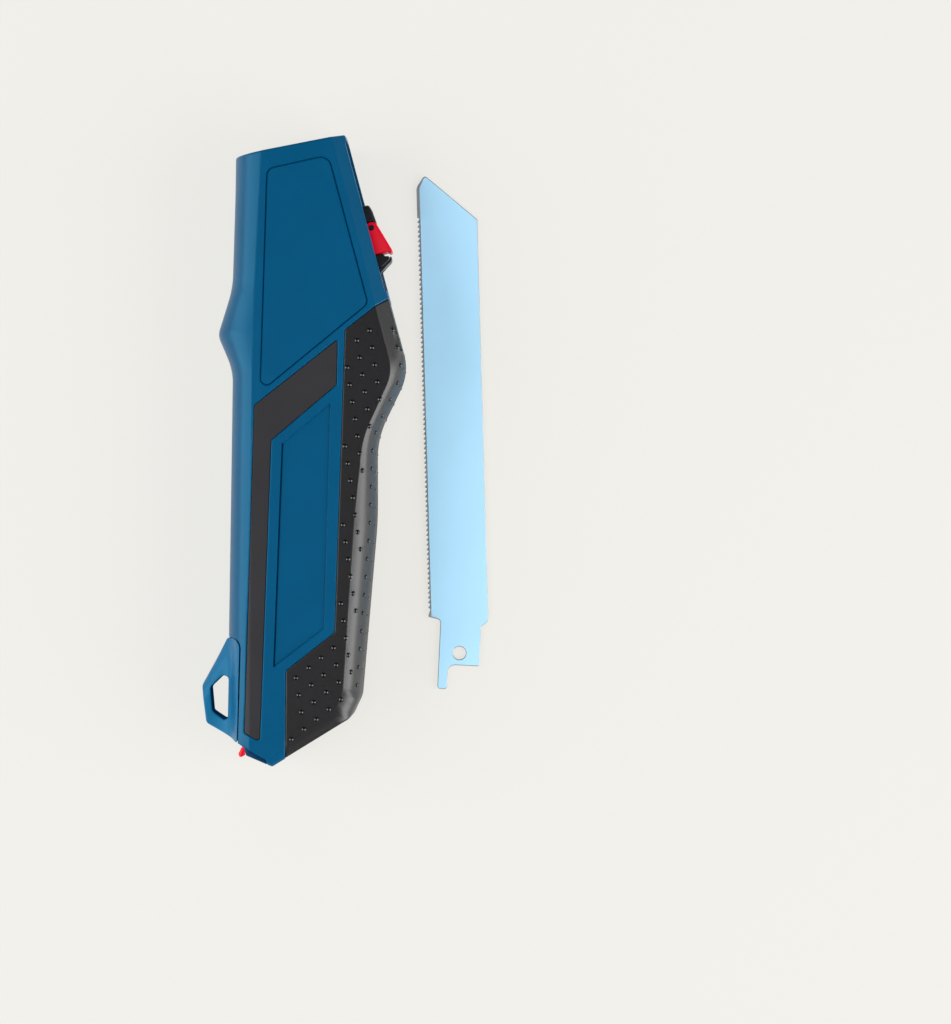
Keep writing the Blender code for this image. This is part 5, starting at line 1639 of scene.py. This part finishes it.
class Look:
    """A material whose colour, roughness and relief follow noise in the piece's own coordinates."""

    def __init__(self, name, metallic=0.0):
        self.material = bpy.data.materials.new(name)
        self.material.use_nodes = True
        self.tree = self.material.node_tree
        self.shader = self.tree.nodes["Principled BSDF"]
        self.shader.inputs["Metallic"].default_value = metallic
        self.coordinates = self.tree.nodes.new("ShaderNodeTexCoord")

    def node(self, kind, feeds):
        """A new node, each of its named sockets fed with a constant value or from another node."""
        made = self.tree.nodes.new(kind)
        for socket, value in feeds.items():
            if isinstance(value, bpy.types.NodeSocket):
                self.tree.links.new(value, made.inputs[socket])
            else:
                made.inputs[socket].default_value = value
        return made

    def noise(self, scale, detail, stretch=(1.0, 1.0, 1.0)):
        feeds = {"Vector": self.coordinates.outputs["Object"], "Scale": stretch}
        mapping = self.node("ShaderNodeMapping", feeds)
        feeds = {"Vector": mapping.outputs["Vector"], "Scale": scale, "Detail": detail}
        return self.node("ShaderNodeTexNoise", feeds).outputs["Fac"]

    def colour(self, tone, spread, scale):
        """A display colour, mottled by a spread to both sides."""
        ramp = self.node("ShaderNodeValToRGB", {"Fac": self.noise(scale, MOTTLE_DETAIL)})
        factors = (1 - spread, 1 + spread)
        for element, position, factor in zip(ramp.color_ramp.elements, NOISE_RANGE, factors):
            element.position = position
            element.color = tinted(linear(*tone), factor)
        self.tree.links.new(ramp.outputs["Color"], self.shader.inputs["Base Color"])

    def grain(self, source, roughness, spread, depth, strength):
        """Let roughness and relief follow one noise."""
        feeds = {"Value": source, "From Min": NOISE_RANGE[0], "From Max": NOISE_RANGE[1]}
        feeds |= {"To Min": roughness + spread[0], "To Max": roughness + spread[1]}
        sheen = self.node("ShaderNodeMapRange", feeds)
        self.tree.links.new(sheen.outputs["Result"], self.shader.inputs["Roughness"])
        bump = self.node("ShaderNodeBump", {"Height": source, "Strength": strength, "Distance": depth})
        self.tree.links.new(bump.outputs["Normal"], self.shader.inputs["Normal"])

    def backdrop(self, colour, share):
        """Let the camera see a share of an even tone, so that shadows on the surface stay faint."""
        glow = self.node("ShaderNodeEmission", {"Color": colour})
        path = self.node("ShaderNodeLightPath", {})
        amount = self.node("ShaderNodeMath", {0: path.outputs["Is Camera Ray"], 1: share})
        amount.operation = 'MULTIPLY'
        layers = {1: self.shader.outputs["BSDF"], 2: glow.outputs["Emission"]}
        blend = self.node("ShaderNodeMixShader", {"Fac": amount.outputs["Value"]} | layers)
        output = self.tree.nodes["Material Output"]
        self.tree.links.new(blend.outputs["Shader"], output.inputs["Surface"])


def moulded(name, tone, roughness, grain, depth, spread, sheen, tint):
    """Moulded plastic or rubber: faint mottling, with a fine grain in its sheen and relief."""
    look = Look(name)
    look.shader.inputs["Specular IOR Level"].default_value = sheen
    look.shader.inputs["Specular Tint"].default_value = (*tint, 1.0)
    look.colour(tone, spread, MOULDED_MOTTLE)
    fine = look.noise(grain, MOULDED_DETAIL)
    look.grain(fine, roughness, MOULDED_SPREAD, depth, MOULDED_STRENGTH)
    return look.material


def brushed(name, tone, roughness, stretch, spread, metallic):
    """Metal with fine lines drawn along one way."""
    look = Look(name, metallic)
    look.colour(tone, spread, BRUSHED_MOTTLE)
    lines = look.noise(BRUSHED_LINES, BRUSHED_DETAIL, stretch)
    look.grain(lines, roughness, BRUSHED_SPREAD, BRUSHED_DEPTH, BRUSHED_STRENGTH)
    return look.material


def make_looks():
    """The materials of each entry of LOOKS."""
    made = {name: moulded(name, *row) for name, row in MOULDED.items()}
    made |= {name: brushed(name, *row) for name, row in BRUSHED.items()}
    return {kind: [made[name] for name in names] for kind, names in LOOKS.items()}


def dress_solids():
    """The leaf under the carriage keeps its own solid's shape."""
    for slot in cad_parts["drag_spring"].material_slots:
        slot.material = looks["dark_steel"][0]


# Floor, light and camera


def lay_floor():
    half = FLOOR_SIZE / 2
    corners = rectangle((-half, half), (-half, half))
    floor = new_piece("floor", [flat(*corner, -FLOOR_DROP) for corner in corners], [(0, 1, 2, 3)])
    look = Look("floor_look")
    look.colour(FLOOR_COLOUR, 0.0, FLOOR_MOTTLE)
    look.shader.inputs["Roughness"].default_value = FLOOR_ROUGHNESS
    look.shader.inputs["Specular IOR Level"].default_value = 0.0
    look.backdrop(linear(*BACKDROP_COLOUR), BACKDROP_SHARE)
    floor.data.materials.append(look.material)
    floor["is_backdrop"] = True


def light_scene():
    world = bpy.data.worlds.new("studio")
    world.use_nodes = True
    sky = world.node_tree.nodes["Background"]
    sky.inputs["Color"].default_value = (1.0, 1.0, 1.0, 1.0)
    sky.inputs["Strength"].default_value = WORLD_STRENGTH
    bpy.context.scene.world = world
    for name, elevation, azimuth, distance, size, power, reflected in SOFTBOXES:
        light = bpy.data.lights.new(name, 'AREA')
        light.shape = 'RECTANGLE'
        light.size, light.size_y = size
        light.energy = power
        lamp = placed(name, light)
        rise = math.radians(elevation)
        heading = math.radians(azimuth)
        level_way = Vector((math.cos(heading), math.sin(heading))) * math.cos(rise)
        way = Vector((*level_way, math.sin(rise)))
        lamp.location = Vector(LIGHT_AIM) + way * distance
        lamp.rotation_euler = way.to_track_quat('Z', 'Y').to_euler()
        lamp.visible_glossy = reflected


def set_camera():
    camera = bpy.data.cameras.new("camera")
    camera.sensor_width = SENSOR_MM
    camera.lens = SENSOR_MM * CAMERA_PLACE[2] / VIEW_HEIGHT
    camera.clip_start = CLIP_START
    eye = placed("camera", camera)
    eye.location = CAMERA_PLACE
    bpy.context.scene.camera = eye
    bpy.context.scene.view_settings.view_transform = 'Standard'


looks = make_looks()
handle()
hang_loop()
nose_guide()
carriage()
lock_lever()
slot_strip()
lock_peg()
storage_lid()
lid_latch()
for number, place in enumerate(SCREW_PLACES, 1):
    screw(number, place)
springs()
saw_blade()
dress_solids()
lay_floor()
light_scene()
set_camera()
boxes = {"cad": cad_box, "visual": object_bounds()}
{name: [list(corner) for corner in box] for name, box in boxes.items()}
